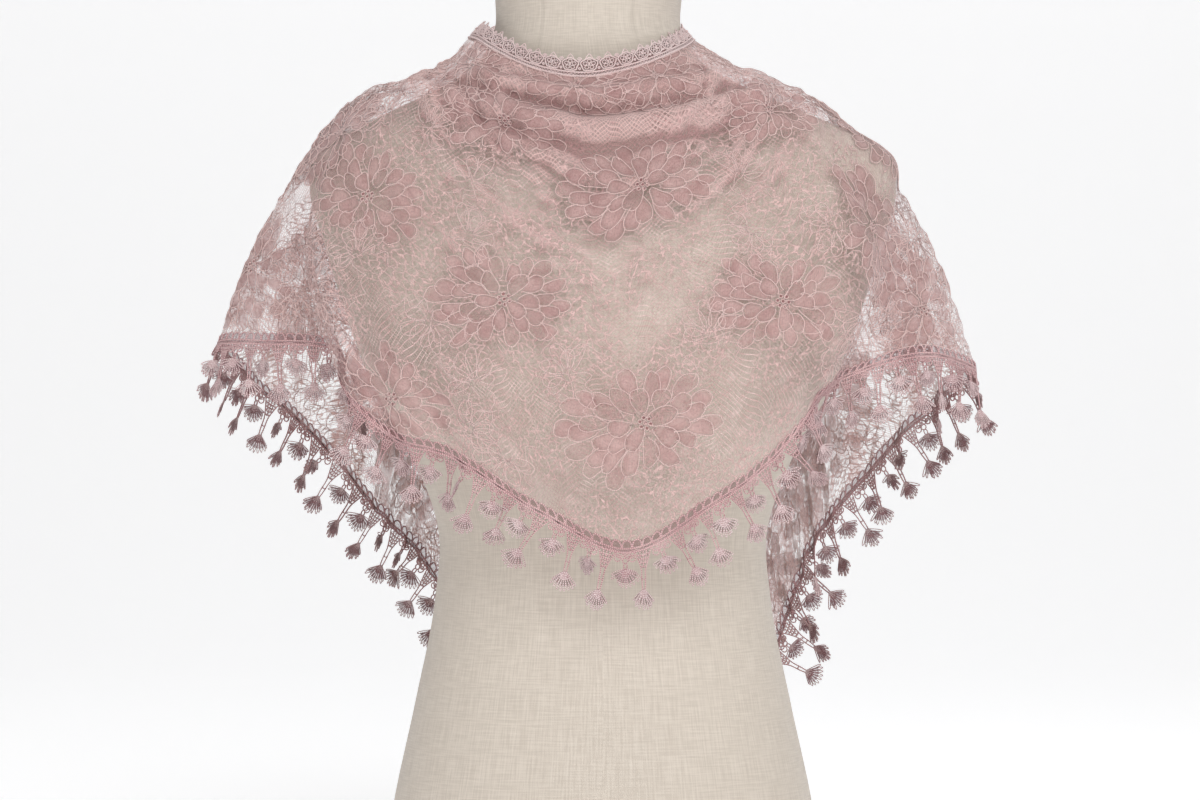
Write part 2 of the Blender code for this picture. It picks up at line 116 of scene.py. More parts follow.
def addStudio(values):
    # A floor that sweeps up into a backdrop, three soft boxes and an even surrounding light.
    reach, start, radius = (values[key] for key in ("sweepReach", "sweepStart", "sweepRadius"))
    x = np.linspace(-reach, reach, 3)
    turn = np.linspace(0.0, math.pi / 2, 14)
    y = np.concatenate([[-reach], start + radius * np.sin(turn), [start + radius]])
    z = np.concatenate([[0.0], radius - radius * np.cos(turn), [values["sweepTop"]]])
    grid = np.stack(np.broadcast_arrays(x[:, None], y[None, :], z[None, :]), axis=2)
    material = bpy.data.materials.new("studioPaper")
    material.use_nodes = True
    shader = material.node_tree.nodes["Principled BSDF"]
    for key, value in (("Base Color", values["backdropColour"]), ("Roughness", 0.9),
                       ("Emission Color", values["backdropColour"]),
                       ("Emission Strength", values["backdropGlow"])):
        shader.inputs[key].default_value = value
    addMesh("studioSweep", grid.reshape(-1, 3), gridFaces(*grid.shape[:2]), material)
    for light in values["lights"]:
        addLight(*light)
    scene.world = bpy.data.worlds.new("studioAir")
    scene.world.use_nodes = True
    air = scene.world.node_tree.nodes["Background"]
    air.inputs[0].default_value = (1.0, 1.0, 1.0, 1.0)
    air.inputs[1].default_value = values["ambient"]
    scene.view_settings.view_transform = "Standard"


def gridFaces(rows, columns, around=False, closed=False):
    # Quads of a grid of points, row by row. With around, the last column joins the first, and with
    # closed the last row does.
    index = np.arange(rows * columns).reshape(rows, columns)
    if around:
        index = np.concatenate([index, index[:, :1]], axis=1)
    if closed:
        index = np.concatenate([index, index[:1]], axis=0)
    return np.stack([index[:-1, :-1], index[:-1, 1:], index[1:, 1:], index[1:, :-1]],
                    axis=2).reshape(-1, 4)


def copied(quads, count, size):
    # The quads of many equal grids, one after another, each of this size in points.
    return (quads[None] + (np.arange(count) * size)[:, None, None]).reshape(-1, 4)


def joined(parts):
    # Several sets of points, quads and values as one set.
    start = np.cumsum([0] + [len(part[0]) for part in parts[:-1]])
    faces = np.concatenate([part[1] + first for part, first in zip(parts, start)])
    points, values = (np.concatenate([part[k] for part in parts]) for k in (0, 2))
    return points, faces, values


def declare(piece, slot, *replaced):
    # A finished piece: the nodes it replaces are hidden and it hangs under the root body.
    # The slot is not used.
    if replaced:
        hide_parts(*replaced)
    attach(piece, "root")
    print(piece.name, "-", len(piece.data.polygons) * 2, "triangles")
    return piece


def addPiece(name, parts, material, slot, *replaced):
    # One piece from several sets of points, quads and places in their map.
    points, faces, flat = joined(parts)
    return declare(addMesh(name, points, faces, material, uv=flat), slot, *replaced)


def hermite(knots, values, at):
    # A smooth curve through values at knots: cubic pieces whose slopes are weighted means of the
    # steps beside each knot.
    knots = np.asarray(knots, float)
    values = np.asarray(values, float)
    at = np.asarray(at, float)
    step = np.diff(knots).reshape((-1,) + (1,) * (values.ndim - 1))
    slope = np.diff(values, axis=0) / step
    inner = (slope[:-1] * step[1:] + slope[1:] * step[:-1]) / (step[1:] + step[:-1])
    first = 1.5 * slope[:1] - 0.5 * inner[:1]
    last = 1.5 * slope[-1:] - 0.5 * inner[-1:]
    tangent = np.concatenate([first, inner, last])
    cell = np.clip(np.searchsorted(knots, at, side="right") - 1, 0, len(knots) - 2)
    wide = (knots[cell + 1] - knots[cell]).reshape((-1,) + (1,) * (values.ndim - 1))
    f = ((at - knots[cell]) / (knots[cell + 1] - knots[cell])).reshape(wide.shape)
    return (
        (2 * f**3 - 3 * f**2 + 1) * values[cell]
        + (f**3 - 2 * f**2 + f) * wide * tangent[cell]
        + (3 * f**2 - 2 * f**3) * values[cell + 1]
        + (f**3 - f**2) * wide * tangent[cell + 1]
    )


def smoothStep(a, b, x):
    # 0 up to a, 1 from b on, and an S curve between.
    f = np.clip((x - a) / (b - a), 0, 1)
    return f * f * (3 - 2 * f)


def unit(vectors):
    # The same directions at length 1.
    return vectors / np.maximum(np.linalg.norm(vectors, axis=-1, keepdims=True), 1e-12)


addCamera(studio)
addStudio(studio)
print("studio ready")

# The form's rings in millimetres: height, middle in x, half width, depth to the front and to
# the back
formRings = np.array((
    (0, 0, 156, 105, 105),
    (71, 0, 146, 100, 102),
    (141, 0, 131, 92, 94),
    (211, 0, 117.5, 86, 82),
    (260, 0, 115, 86, 76),
    (305, 0, 130, 96, 78),
    (365, 0, 162, 120, 86),
    (400, 0, 176, 125, 90),
    (455, 0, 193, 110, 93),
    (500, 0, 205, 89, 87),
    (520, -1, 202, 79, 81),
    (535, -2, 182, 72, 75),
    (550, -4, 150, 67, 69),
    (565, -6, 116, 64, 65),
    (580, -8, 86, 63, 64),
    (600, -10, 69, 63, 64),
    (640, -10, 65.5, 62, 64),
    (676, -10, 65.5, 62, 64),
)) / 1000
formHeights = np.concatenate([np.linspace(0.0, 0.47, 95), np.linspace(0.4725, 0.676, 86)])
formSizes = hermite(formRings[:, 0], formRings[:, 1:], formHeights).T
formPower = 2.15


def formExcess(points):
    # How far points lie outside the form's skin, as a share of its size at their height.
    mid, half, front, back = (np.interp(points[:, 2], formHeights, size) for size in formSizes)
    x = np.abs(points[:, 0] - mid) / half
    y = np.abs(points[:, 1]) / np.where(points[:, 1] < 0, front, back)
    return (x**formPower + y**formPower) ** (1 / formPower) - 1


def clearOfForm(points, clearance):
    # The points, moved out along the form's slope until they clear its skin. The slope is measured
    # over a small probe to each side, and no step is longer than longest.
    probe, longest = 0.0005, 0.02
    shape = np.shape(points)
    points = np.array(points, float).reshape(-1, 3)
    for _ in range(5):
        here = formExcess(points)
        slope = np.stack(
            [(formExcess(points + step) - formExcess(points - step)) / (2 * probe)
             for step in np.eye(3) * probe], axis=1)
        steep = np.linalg.norm(slope, axis=1)
        move = np.clip(clearance - here / steep, 0, longest)
        points = points + slope / steep[:, None] * move[:, None]
    return points.reshape(shape)


# The cloth's sections from the left tip over the front to the right tip, as points in
# millimetres at the shares sectionAt of the way from the long edge to the fringed edge
sectionAt = (0.0, 0.12, 0.30, 0.65, 1.0)
sections = (
    # name, long edge, collar, upper, lower, fringed edge
    ("tip_left", (-78, 109, 228), (-81, 110, 224),
     (-85, 110, 218), (-96, 112, 206), (-107, 113, 196)),
    ("tail_low_left", (-60, 107, 300), (-69, 108, 289),
     (-82, 109, 272), (-104, 112, 243), (-121, 113, 217)),
    ("tail_mid_left", (-44, 107, 380), (-59, 109, 360),
     (-80, 110, 330), (-112, 114, 285), (-136, 108, 240)),
    ("tail_top_left", (-28, 102, 490), (-51, 104, 467),
     (-84, 106, 430), (-134, 112, 350), (-153, 104, 258)),
    ("nape_left", (-22, 79, 598), (-50, 83, 560),
     (-100, 88, 510), (-158, 96, 400), (-175, 96, 283)),
    ("back_left", (-64, 58, 601), (-90, 62, 575),
     (-138, 62, 545), (-197, 72, 438), (-209, 80, 325)),
    ("wing_back_left", (-88, 30, 604), (-112, 34, 580),
     (-160, 30, 562), (-226, 34, 468), (-246, 48, 360)),
    ("wing_edge_left", (-94, 10, 605), (-116, 10, 581),
     (-165, 6, 567), (-232, 4, 480), (-268, 2, 387)),
    ("wing_front_left", (-93, -8, 604), (-115, -10, 580),
     (-164, -10, 566), (-218, -18, 483), (-228, -40, 389)),
    ("fold_in_left", (-91, -21, 602.5), (-112, -26, 579),
     (-160, -24, 562), (-203, -36, 475), (-186, -50, 386)),
    ("fold_out_left", (-86, -35, 599.5), (-108, -44, 576),
     (-150, -46, 556), (-200, -66, 462), (-174, -94, 358)),
    ("side_left", (-76, -51, 592), (-96, -62, 572),
     (-130, -72, 540), (-162, -100, 425), (-143, -112, 326)),
    ("bust_left", (-57, -67, 581), (-71, -82, 560),
     (-92, -94, 512), (-110, -124, 395), (-99, -124, 311)),
    ("front_left", (-34, -77, 573), (-40, -90, 550),
     (-47, -108, 492), (-52, -136, 372), (-42, -131, 275)),
    ("throat", (-9, -81, 570.5), (-6, -93, 544),
     (-1, -112, 480), (10, -138, 362), (18, -130, 249.5)),
    ("front_right", (16, -77, 575.5), (24, -90, 550),
     (38, -108, 492), (64, -135, 372), (70, -131, 278)),
    ("bust_right", (36, -67, 583), (54, -80, 560),
     (82, -94, 510), (116, -120, 400), (113, -122, 310)),
    ("fold_out_right", (50, -51, 590.5), (76, -62, 572),
     (120, -70, 540), (176, -92, 436), (145, -106, 352)),
    ("fold_in_right", (57, -35, 595), (86, -42, 579),
     (138, -44, 550), (190, -55, 456), (164, -58, 366)),
    ("wing_front_right", (61, -18, 599), (92, -22, 581),
     (147, -22, 557), (208, -28, 474), (222, -40, 381)),
    ("wing_edge_right", (64, 0, 603), (95, 0, 583),
     (150, 0, 560), (219, -2, 478), (260, 2, 371)),
    ("wing_back_right", (62, 22, 604), (94, 22, 582),
     (150, 24, 557), (215, 32, 463), (243, 48, 352)),
    ("back_right", (48, 54, 601.5), (78, 58, 575),
     (128, 60, 540), (194, 74, 430), (214, 79, 322)),
    ("nape_right", (6, 79, 598), (36, 84, 560),
     (92, 88, 508), (160, 98, 392), (181, 99, 283)),
    ("tail_top_right", (18, 103, 490), (42, 105, 465),
     (80, 108, 425), (136, 114, 340), (154, 104, 247)),
    ("tail_mid_right", (44, 108, 370), (60, 110, 349),
     (84, 112, 316), (120, 116, 264), (142, 112, 212)),
    ("tail_low_right", (72, 110, 262), (81, 111, 251),
     (94, 112, 235), (116, 115, 207), (132, 114, 183)),
    ("tip_right", (96, 112, 176), (99, 113, 173),
     (104, 113, 168), (114, 114, 160), (124, 114, 153)),
)

# The folds in the cloth, each a ridge or, with a negative height, a groove
creases = (
    # s and t of its middle, half length in s, slope and bend of t over s, half width in t, height
    (0.657, 0.070, 0.150, 0.05, 2.6, 0.026, 0.0075),
    (0.655, 0.155, 0.160, 0.04, 2.2, 0.026, 0.0095),
    (0.640, 0.112, 0.150, 0.10, 2.4, 0.012, -0.0050),
    (0.650, 0.192, 0.130, 0.12, 2.6, 0.012, -0.0045),
    (0.610, 0.225, 0.090, 0.30, 2.2, 0.016, 0.0050),
    (0.745, 0.170, 0.055, -1.20, 0.0, 0.017, 0.0060),
    (0.720, 0.235, 0.050, -0.90, 0.0, 0.018, 0.0045),
    (0.600, 0.262, 0.070, 0.55, 3.0, 0.020, 0.0035),
    (0.560, 0.120, 0.045, 1.40, 4.0, 0.018, 0.0055),
    (0.545, 0.180, 0.040, 1.50, 4.0, 0.012, -0.0040),
    (0.520, 0.235, 0.040, 1.10, 0.0, 0.022, 0.0045),
    (0.690, 0.310, 0.090, -0.35, 2.0, 0.032, 0.0028),
    (0.630, 0.400, 0.100, 0.30, 2.0, 0.040, 0.0022),
    (0.790, 0.240, 0.040, -1.60, 0.0, 0.022, 0.0050),
    (0.770, 0.130, 0.035, -1.80, 0.0, 0.012, -0.0035),
    (0.835, 0.300, 0.030, -2.60, 0.0, 0.040, 0.0040),
    (0.470, 0.200, 0.030, 1.60, 0.0, 0.024, 0.0055),
    (0.440, 0.110, 0.030, 1.20, 0.0, 0.016, 0.0045),
    (0.400, 0.150, 0.040, 0.40, 0.0, 0.040, 0.0055),
    (0.900, 0.160, 0.040, -0.30, 0.0, 0.036, 0.0045),
    (1.030, 0.220, 0.060, -0.60, 0.0, 0.050, 0.0045),
    (1.060, 0.420, 0.050, -1.40, 0.0, 0.050, 0.0035),
    (0.260, 0.240, 0.060, 0.60, 0.0, 0.050, 0.0045),
    (0.215, 0.430, 0.050, 1.40, 0.0, 0.050, 0.0035),
    (0.560, 0.330, 0.060, 0.90, 0.0, 0.011, 0.0022),
    (0.590, 0.365, 0.065, 0.60, 0.0, 0.010, 0.0019),
    (0.622, 0.305, 0.060, 0.45, 1.0, 0.009, 0.0019),
    (0.700, 0.262, 0.060, -0.45, 1.0, 0.010, 0.0021),
    (0.735, 0.325, 0.050, -0.70, 0.0, 0.011, 0.0021),
    (0.762, 0.375, 0.045, -0.90, 0.0, 0.010, 0.0019),
    (0.545, 0.430, 0.040, 1.20, 0.0, 0.012, 0.0019),
)

# How the cloth waves and where it lies, and how closely it is gathered below the collar
drape = {
    "columns": 500,
    "rows": 190,
    "clearance": 0.0013,
    "waveLength": 0.058,
    "waveHeight": 0.0024,
    "crinkle": 0.0007,
    "gather": 0.42,
    "gatherHalf": 0.25,
}
rowNames = [row[0] for row in sections]
rowPoints = np.array([row[1:] for row in sections]) / 1000
rowSteps = np.linalg.norm(np.diff(rowPoints, axis=0), axis=2).mean(axis=1)
rowAt = np.concatenate([[0.0], np.cumsum(rowSteps)])


def place(name):
    # Where a named section lies along the cloth.
    return float(rowAt[rowNames.index(name)])


def plainMiddle(s, t):
    # The smooth surface through the rows of sections.
    rows = hermite(rowAt, rowPoints, np.clip(s, 0, rowAt[-1]))
    return hermite(sectionAt, rows.transpose(1, 0, 2), np.clip(t, 0, 1)).transpose(1, 0, 2)


def clothMiddle(s, t, values):
    # The cloth on a grid of places s and shares t: the smooth surface, plus ridges across it whose
    # middle line is t + slope x + bend x x and which fade as a bell over their length, plus waves
    # down the sections that grow towards the fringe, plus a fine crinkle of three crossed sines.
    middle = plainMiddle(s, t)
    across = plainMiddle(s + 0.004, t) - plainMiddle(s - 0.004, t)
    down = plainMiddle(s, t + 0.01) - plainMiddle(s, t - 0.01)
    outward = unit(np.cross(down, across))
    lift = np.zeros(middle.shape[:2])
    for middleS, middleT, long, slope, bend, wide, height in creases:
        x = (s - middleS)[:, None]
        line = middleT + slope * x + bend * x * x
        lift += height * np.exp(-(((t[None, :] - line) / wide) ** 2) - (x / long) ** 2)
    turn = 2 * np.pi * s[:, None] / values["waveLength"]
    wave = np.sin(turn + 1.3 * np.sin(turn * 0.31 + 0.6)) + 0.5 * np.sin(turn * 1.73 + 2.0)
    side = 0.35 + 0.65 * smoothStep(0.10, 0.24, np.abs(s - place("throat")))[:, None]
    lift += values["waveHeight"] * wave * side * smoothStep(0.35, 1.0, t)[None, :]
    a, b = s[:, None] * 2 * np.pi, t[None, :] * 0.3 * 2 * np.pi
    lift += values["crinkle"] * (
        np.sin(a / 0.023 + b / 0.051) * np.sin(b / 0.017 - a / 0.071 + 1.0)
        + 0.7 * np.sin(a / 0.041 - b / 0.027 + 2.2))
    lift = lift * smoothStep(0.0, 0.03, t)[None, :]
    return clearOfForm(middle + outward * lift[..., None], values["clearance"]), lift


gridS = np.linspace(0, rowAt[-1], drape["columns"])
gridT = np.linspace(0, 1, drape["rows"])
cloth, lift = clothMiddle(gridS, gridT, drape)
alongS = np.gradient(cloth, gridS, axis=0)
alongT = np.gradient(cloth, gridT, axis=1)
clothNormal = unit(np.cross(alongT, alongS))
downUnit = unit(alongT)
skew = (alongS * downUnit).sum(axis=2)
wideS = np.linalg.norm(alongS - downUnit * skew[..., None], axis=2)
longT = np.linalg.norm(alongT, axis=2)
metric = np.stack([wideS, skew, longT], axis=2)

# How steeply a fold leans, more where the cloth is gathered, and how deep a place lies below the
# mean of the folds beside it, which sets how much painted shade the lace gets there
foldSlope = np.hypot(np.gradient(lift, gridT, axis=1) / longT,
                     np.gradient(lift, gridS, axis=0) / wideS)
foldSlope += drape["gather"] * (
    np.exp(-((gridS - place("throat")) / drape["gatherHalf"]) ** 4)[:, None]
    * smoothStep(0.30, 0.07, gridT)[None, :])
bell = np.exp(-(np.linspace(-2, 2, 25) ** 2))
mean = np.apply_along_axis(lambda row: np.convolve(np.pad(row, 12, "edge"), bell / bell.sum(),
                                                   "valid"), 1, lift)
hollowShade = smoothStep(0.0002, 0.0016, mean - lift)


def sample(table, s, t):
    # The value of a grid table at places s and shares t, by straight lines between its points.
    s, t = np.broadcast_arrays(s, t)
    x = np.clip(s / gridS[-1], 0, 1) * (len(gridS) - 1)
    y = np.clip(t, 0, 1) * (len(gridT) - 1)
    i = np.minimum(x.astype(int), len(gridS) - 2)
    j = np.minimum(y.astype(int), len(gridT) - 2)
    f, g = (share.reshape(share.shape + (1,) * (table.ndim - 2)) for share in (x - i, y - j))
    return (table[i, j] * (1 - f) * (1 - g) + table[i + 1, j] * f * (1 - g)
            + table[i, j + 1] * (1 - f) * g + table[i + 1, j + 1] * f * g)


def walk(s, t, x, y, steps=7):
    # The places reached from s, t by going x metres across and y metres down over the cloth, in
    # short steps that follow the cloth's own directions.
    s = s + np.zeros_like(x)
    t = t + np.zeros_like(x)
    for _ in range(steps):
        wide, lean, long = np.moveaxis(sample(metric, s, t), -1, 0)
        stepS = x / steps / wide
        s = s + stepS
        t = t + (y / steps - stepS * lean) / long
        s = np.clip(s, 0.002, gridS[-1] - 0.002)
        t = np.clip(t, -0.05, 1.05)
    return s, t


def onCloth(s, t, height):
    # Points this height above the cloth's face, and the cloth's normals there.
    normal = unit(sample(clothNormal, s, t))
    return sample(cloth, s, t) + normal * np.asarray(height)[..., None], normal


def runAlong(points):
    # The distance along lines of points, from the first point of each.
    steps = np.linalg.norm(np.diff(points, axis=-2), axis=-1)
    return np.cumsum(np.concatenate([0 * steps[..., :1], steps], axis=-1), axis=-1)


def tubes(paths, normals, radius, sides=4, closed=False, flat=1.0):
    # Round cords along paths, an array of paths by points by 3. The ring at each point has this
    # radius, and is squeezed by flat along the normal. Returns the points and quads, and for each
    # point the distance along its cord and the turn round it from its inner side.
    count, steps = paths.shape[:2]
    if closed:
        tangent = unit(np.roll(paths, -1, axis=1) - np.roll(paths, 1, axis=1))
    else:
        tangent = unit(np.gradient(paths, axis=1))
    beside = unit(np.cross(tangent, normals))
    upward = np.cross(beside, tangent)
    turn = (np.arange(sides) + 0.5) / sides
    angle = (2 * np.pi * turn - np.pi / 2)[:, None]
    rings = (paths[:, :, None] + beside[:, :, None] * np.cos(angle) * radius
             + upward[:, :, None] * np.sin(angle) * radius * flat)
    quads = gridFaces(steps, sides, around=True, closed=closed)[:, [0, 3, 2, 1]]
    wound = np.stack(np.broadcast_arrays(runAlong(paths)[:, :, None], turn), axis=3)
    return rings.reshape(-1, 3), copied(quads, count, steps * sides), wound.reshape(-1, 2)


# The map of the cloth: the distance along its two edges from the throat, and down its sections
throatColumn = int(np.argmin(np.abs(gridS - place("throat"))))
edgeRun, hemRun = runAlong(cloth[:, 0]), runAlong(cloth[:, -1])
flatU = ((edgeRun - edgeRun[throatColumn])[:, None] * (1 - gridT)
         + (hemRun - hemRun[throatColumn])[:, None] * gridT)
flatPlace = np.stack([flatU, runAlong(cloth)], axis=2)
print("cloth laid on the form")


class Nodes:
    # A short way to write a tree of nodes: each call adds one node and returns its output.
    def __init__(self, tree):
        self.tree = tree

    def link(self, value, socket):
        if isinstance(value, bpy.types.NodeSocket):
            self.tree.links.new(value, socket)
        else:
            socket.default_value = value

    def add(self, kind, inputs, output=0, **settings):
        node = self.tree.nodes.new(kind)
        for key, value in settings.items():
            setattr(node, key, value)
        for key, value in inputs.items():
            self.link(value, node.inputs[key])
        return node.outputs[output]

    def maths(self, operation, a, b=0.0):
        return self.add("ShaderNodeMath", {0: a, 1: b}, operation=operation)

    def parts(self, vector):
        node = self.tree.nodes.new("ShaderNodeSeparateXYZ")
        self.link(vector, node.inputs[0])
        return node.outputs[0], node.outputs[1]

    def blend(self, share, a, b):
        node = self.tree.nodes.new("ShaderNodeMix")
        node.data_type = "RGBA"
        self.link(share, node.inputs[0])
        self.link(a, node.inputs[6])
        self.link(b, node.inputs[7])
        return node.outputs[2]

    def spread(self, value, fromLow, fromHigh, toLow=0.0, toHigh=1.0):
        return self.add("ShaderNodeMapRange", {"Value": value, "From Min": fromLow,
                        "From Max": fromHigh, "To Min": toLow, "To Max": toHigh},
                        interpolation_type="SMOOTHSTEP")

    def noise(self, vector, scale, detail=3.0, rough=0.55, dimensions="3D"):
        return self.add("ShaderNodeTexNoise", {"Vector": vector, "Scale": scale,
                        "Detail": detail, "Roughness": rough}, noise_dimensions=dimensions)

    def attribute(self, name):
        return self.add("ShaderNodeAttribute", {}, output=2, attribute_name=name)

    def shared(self, group, **values):
        node = self.tree.nodes.new("ShaderNodeGroup")
        node.node_tree = group
        for key, value in values.items():
            self.link(value, node.inputs[key])
        return list(node.outputs)


def newGroup(name, inputs, outputs):
    # An empty shared group: its nodes, its inputs by name and its end node.
    tree = bpy.data.node_groups.new(name, "ShaderNodeTree")
    for key, kind in inputs.items():
        tree.interface.new_socket(key, in_out="INPUT", socket_type=kind)
    for key in outputs:
        tree.interface.new_socket(key, in_out="OUTPUT", socket_type="NodeSocketFloat")
    begin = tree.nodes.new("NodeGroupInput")
    return Nodes(tree), begin.outputs, tree.nodes.new("NodeGroupOutput").inputs


def slantedNetGroup():
    # Cover is 1 on two crossed sets of slanted threads and 0 in the diamonds between them. Pitch is
    # in metres and Width is a share of it.
    n, given, out = newGroup("slantedNet", {"Place": "NodeSocketVector", "Pitch": "NodeSocketFloat",
                                            "Width": "NodeSocketFloat"}, ["Cover"])
    across, down = n.parts(given["Place"])
    x = n.maths("DIVIDE", across, given["Pitch"])
    y = n.maths("DIVIDE", down, n.maths("MULTIPLY", given["Pitch"], 1.2))
    low = n.maths("MULTIPLY", given["Width"], 0.3)
    high = n.maths("MULTIPLY", given["Width"], 1.7)
    sets = [n.spread(n.maths("PINGPONG", n.maths(operation, x, y), 0.5), low, high, 1.0, 0.0)
            for operation in ("ADD", "SUBTRACT")]
    n.link(n.maths("MAXIMUM", *sets), out["Cover"])
    return n.tree


def fibreGroup():
    # Tone is the uneven light and dark of thread: fine fibres over a slow change. Fibre is the fine
    # part alone.
    n, given, out = newGroup("fibre", {"Place": "NodeSocketVector", "Fine": "NodeSocketFloat",
                                       "Slow": "NodeSocketFloat"}, ["Tone", "Fibre"])
    fine = n.noise(given["Place"], given["Fine"], 2.0, 0.6)
    slow = n.noise(given["Place"], given["Slow"], 3.0, 0.6)
    n.link(n.maths("ADD", n.maths("MULTIPLY", slow, 0.55), n.maths("MULTIPLY", fine, 0.55)),
           out["Tone"])
    n.link(fine, out["Fibre"])
    return n.tree


def windingGroup():
    # Plies is the wave of plies wound round a cord, and Outer is 1 along its outer side and 0 along
    # its hidden side. Wound holds the distance along the cord and the turn round it.
    n, given, out = newGroup("winding", {"Wound": "NodeSocketVector", "Ply": "NodeSocketFloat"},
                             ["Plies", "Outer"])
    along, turn = n.parts(given["Wound"])
    turns = n.maths("ADD", n.maths("DIVIDE", along, given["Ply"]), turn)
    n.link(n.maths("SINE", n.maths("MULTIPLY", turns, 2 * math.pi)), out["Plies"])
    n.link(n.maths("SINE", n.maths("MULTIPLY", turn, math.pi)), out["Outer"])
    return n.tree


slantedNet, fibre, winding = slantedNetGroup(), fibreGroup(), windingGroup()


def fabric(name):
    # A new material, the nodes of its tree and its map of places.
    material = bpy.data.materials.new(name)
    material.use_nodes = True
    n = Nodes(material.node_tree)
    return material, n, n.add("ShaderNodeUVMap", {}, uv_map="flat")


def bumped(n, height, distance):
    return n.add("ShaderNodeBump", {"Height": height, "Distance": distance})


def setShader(n, **inputs):
    # Values for the material's own shader, with spaces in its socket names written as underscores.
    shader = n.tree.nodes["Principled BSDF"]
    for key, value in inputs.items():
        n.link(value, shader.inputs[key.replace("_", " ")])


# The linen cover: its thread pitch, colours and seams
linen = {
    "threadPitch": 0.0011,
    "threadScale": 900.0,
    "slubScale": 45.0,
    "light": (0.68, 0.61, 0.53, 1.0),
    "dark": (0.56, 0.495, 0.425, 1.0),
    "slub": (0.76, 0.70, 0.63, 1.0),
    "seam": (0.40, 0.35, 0.30, 1.0),
}


def linenMaterial(values):
    # Plain weave: two sets of threads in the map of the skin, each with its own long slubs, over
    # a slow change of tone, and a darker pressed line along each seam.
    material, n, flat = fabric("linenCover")
    across, up = n.parts(flat)
    threads = []
    for along, beside in ((up, across), (across, up)):
        drawn = n.add("ShaderNodeCombineXYZ", {0: n.maths("MULTIPLY", along, values["slubScale"]),
                      1: n.maths("MULTIPLY", beside, values["threadScale"])})
        threads.append(n.noise(drawn, 1.0, 2.0, 0.5))
    weave = n.maths("ADD", n.maths("MULTIPLY", threads[0], 0.55),
                    n.maths("MULTIPLY", threads[1], 0.45))
    turn = 2 * math.pi / values["threadPitch"]
    grid = n.maths("MULTIPLY", n.maths("SINE", n.maths("MULTIPLY", across, turn)),
                   n.maths("SINE", n.maths("MULTIPLY", up, turn)))
    slow = n.noise(n.add("ShaderNodeTexCoord", {}, output=3), 7.0, 4.0, 0.6)
    colour = n.blend(n.spread(weave, 0.36, 0.64), values["dark"], values["light"])
    colour = n.blend(n.spread(weave, 0.62, 0.74, 0.0, 0.6), colour, values["slub"])
    colour = n.blend(n.spread(grid, -0.9, 0.9, 0.16, 0.0), colour, values["dark"])
    colour = n.blend(n.spread(slow, 0.35, 0.7, 0.0, 0.22), colour, values["dark"])
    line = n.spread(n.attribute("seam"), 0.0, 0.0016, 1.0, 0.0)
    colour = n.blend(n.maths("MULTIPLY", line, 0.38), colour, values["seam"])
    height = n.maths("ADD", weave, n.maths("MULTIPLY", grid, 0.25))
    height = n.maths("SUBTRACT", height, n.maths("MULTIPLY", line, 1.6))
    setShader(n, Base_Color=colour, Roughness=n.spread(weave, 0.3, 0.7, 0.92, 0.78),
              Sheen_Weight=0.25, Sheen_Roughness=0.5, Specular_IOR_Level=0.25,
              Normal=bumped(n, height, 0.00022))
    return material


def addForm(values):
    # The form's skin over turn and height: rings of the table as rounded ovals of power formPower,
    # with shrinking rings under and over them. The map holds the distance round the ring at bust
    # size and the height, and seam the distance to the nearest seam: two down the front, three
    # down the back and one at each side.
    sides = 220
    roundBust, seamAt, sideFrom, sideDepth = 0.86, 0.48, 0.8, 0.004
    turn = np.linspace(0, 2 * np.pi, sides + 1) - np.pi / 2
    mid, half, front, back = formSizes
    wide, deep = (np.sign(side) * np.abs(side) ** (2 / formPower)
                  for side in (np.cos(turn), np.sin(turn)))
    depth = np.where(deep < 0, front[:, None], back[:, None])
    grid = np.stack(np.broadcast_arrays(mid[:, None] + half[:, None] * wide, depth * deep,
                                        formHeights[:, None]), axis=2)
    centre = np.stack([mid, mid * 0, formHeights], axis=1)
    bottom, top = (centre[k] + (grid[k] - centre[k]) * np.array(shrunk)[:, None, None]
                   for k, shrunk in ((0, (0.0, 0.35, 0.7, 0.95)), (-1, (0.97, 0.75, 0.4, 0.0))))
    grid = np.concatenate([bottom, grid, top])
    run = (turn + np.pi / 2) / (2 * np.pi) * roundBust - roundBust / 2
    up = np.concatenate([formHeights[0] - np.array([0.13, 0.085, 0.04, 0.008]), formHeights,
                         formHeights[-1] + np.array([0.002, 0.018, 0.04, 0.066])])
    flat = np.stack(np.broadcast_arrays(run, up[:, None]), axis=2)
    x = np.abs(grid[..., 0] - np.pad(mid, 4, "edge")[:, None])
    half = np.pad(half, 4, "edge")[:, None]
    seam = np.minimum(np.abs(x - half * seamAt), np.where(grid[..., 1] < 0, 1.0, x))
    seam = np.minimum(seam, np.abs(grid[..., 1] - sideDepth)
                      + np.where(x > half * sideFrom, 0.0, 1.0))
    piece = addMesh("form_cover", grid.reshape(-1, 3), gridFaces(*grid.shape[:2]),
                    linenMaterial(values), uv=flat.reshape(-1, 2), values={"seam": seam})
    declare(piece, "linen", "form_torso")


addForm(linen)
print("linen form ready")

# The lace ground: its net and the wider web between the flowers
ground = {
    "netPitch": 0.0028,
    "netThread": 0.082,
    "meshPitch": 0.0036,
    "meshThread": 0.22,
    "webCell": 0.0052,
    "webThread": 0.110,
    "thread": (0.56, 0.31, 0.305, 1.0),
    "threadLight": (0.90, 0.67, 0.645, 1.0),
    "web": (0.70, 0.48, 0.455, 1.0),
    "webShade": (0.44, 0.235, 0.23, 1.0),
    # painted shade for the hollows between folds
    "hollowShade": (0.27, 0.125, 0.125, 1.0),
}


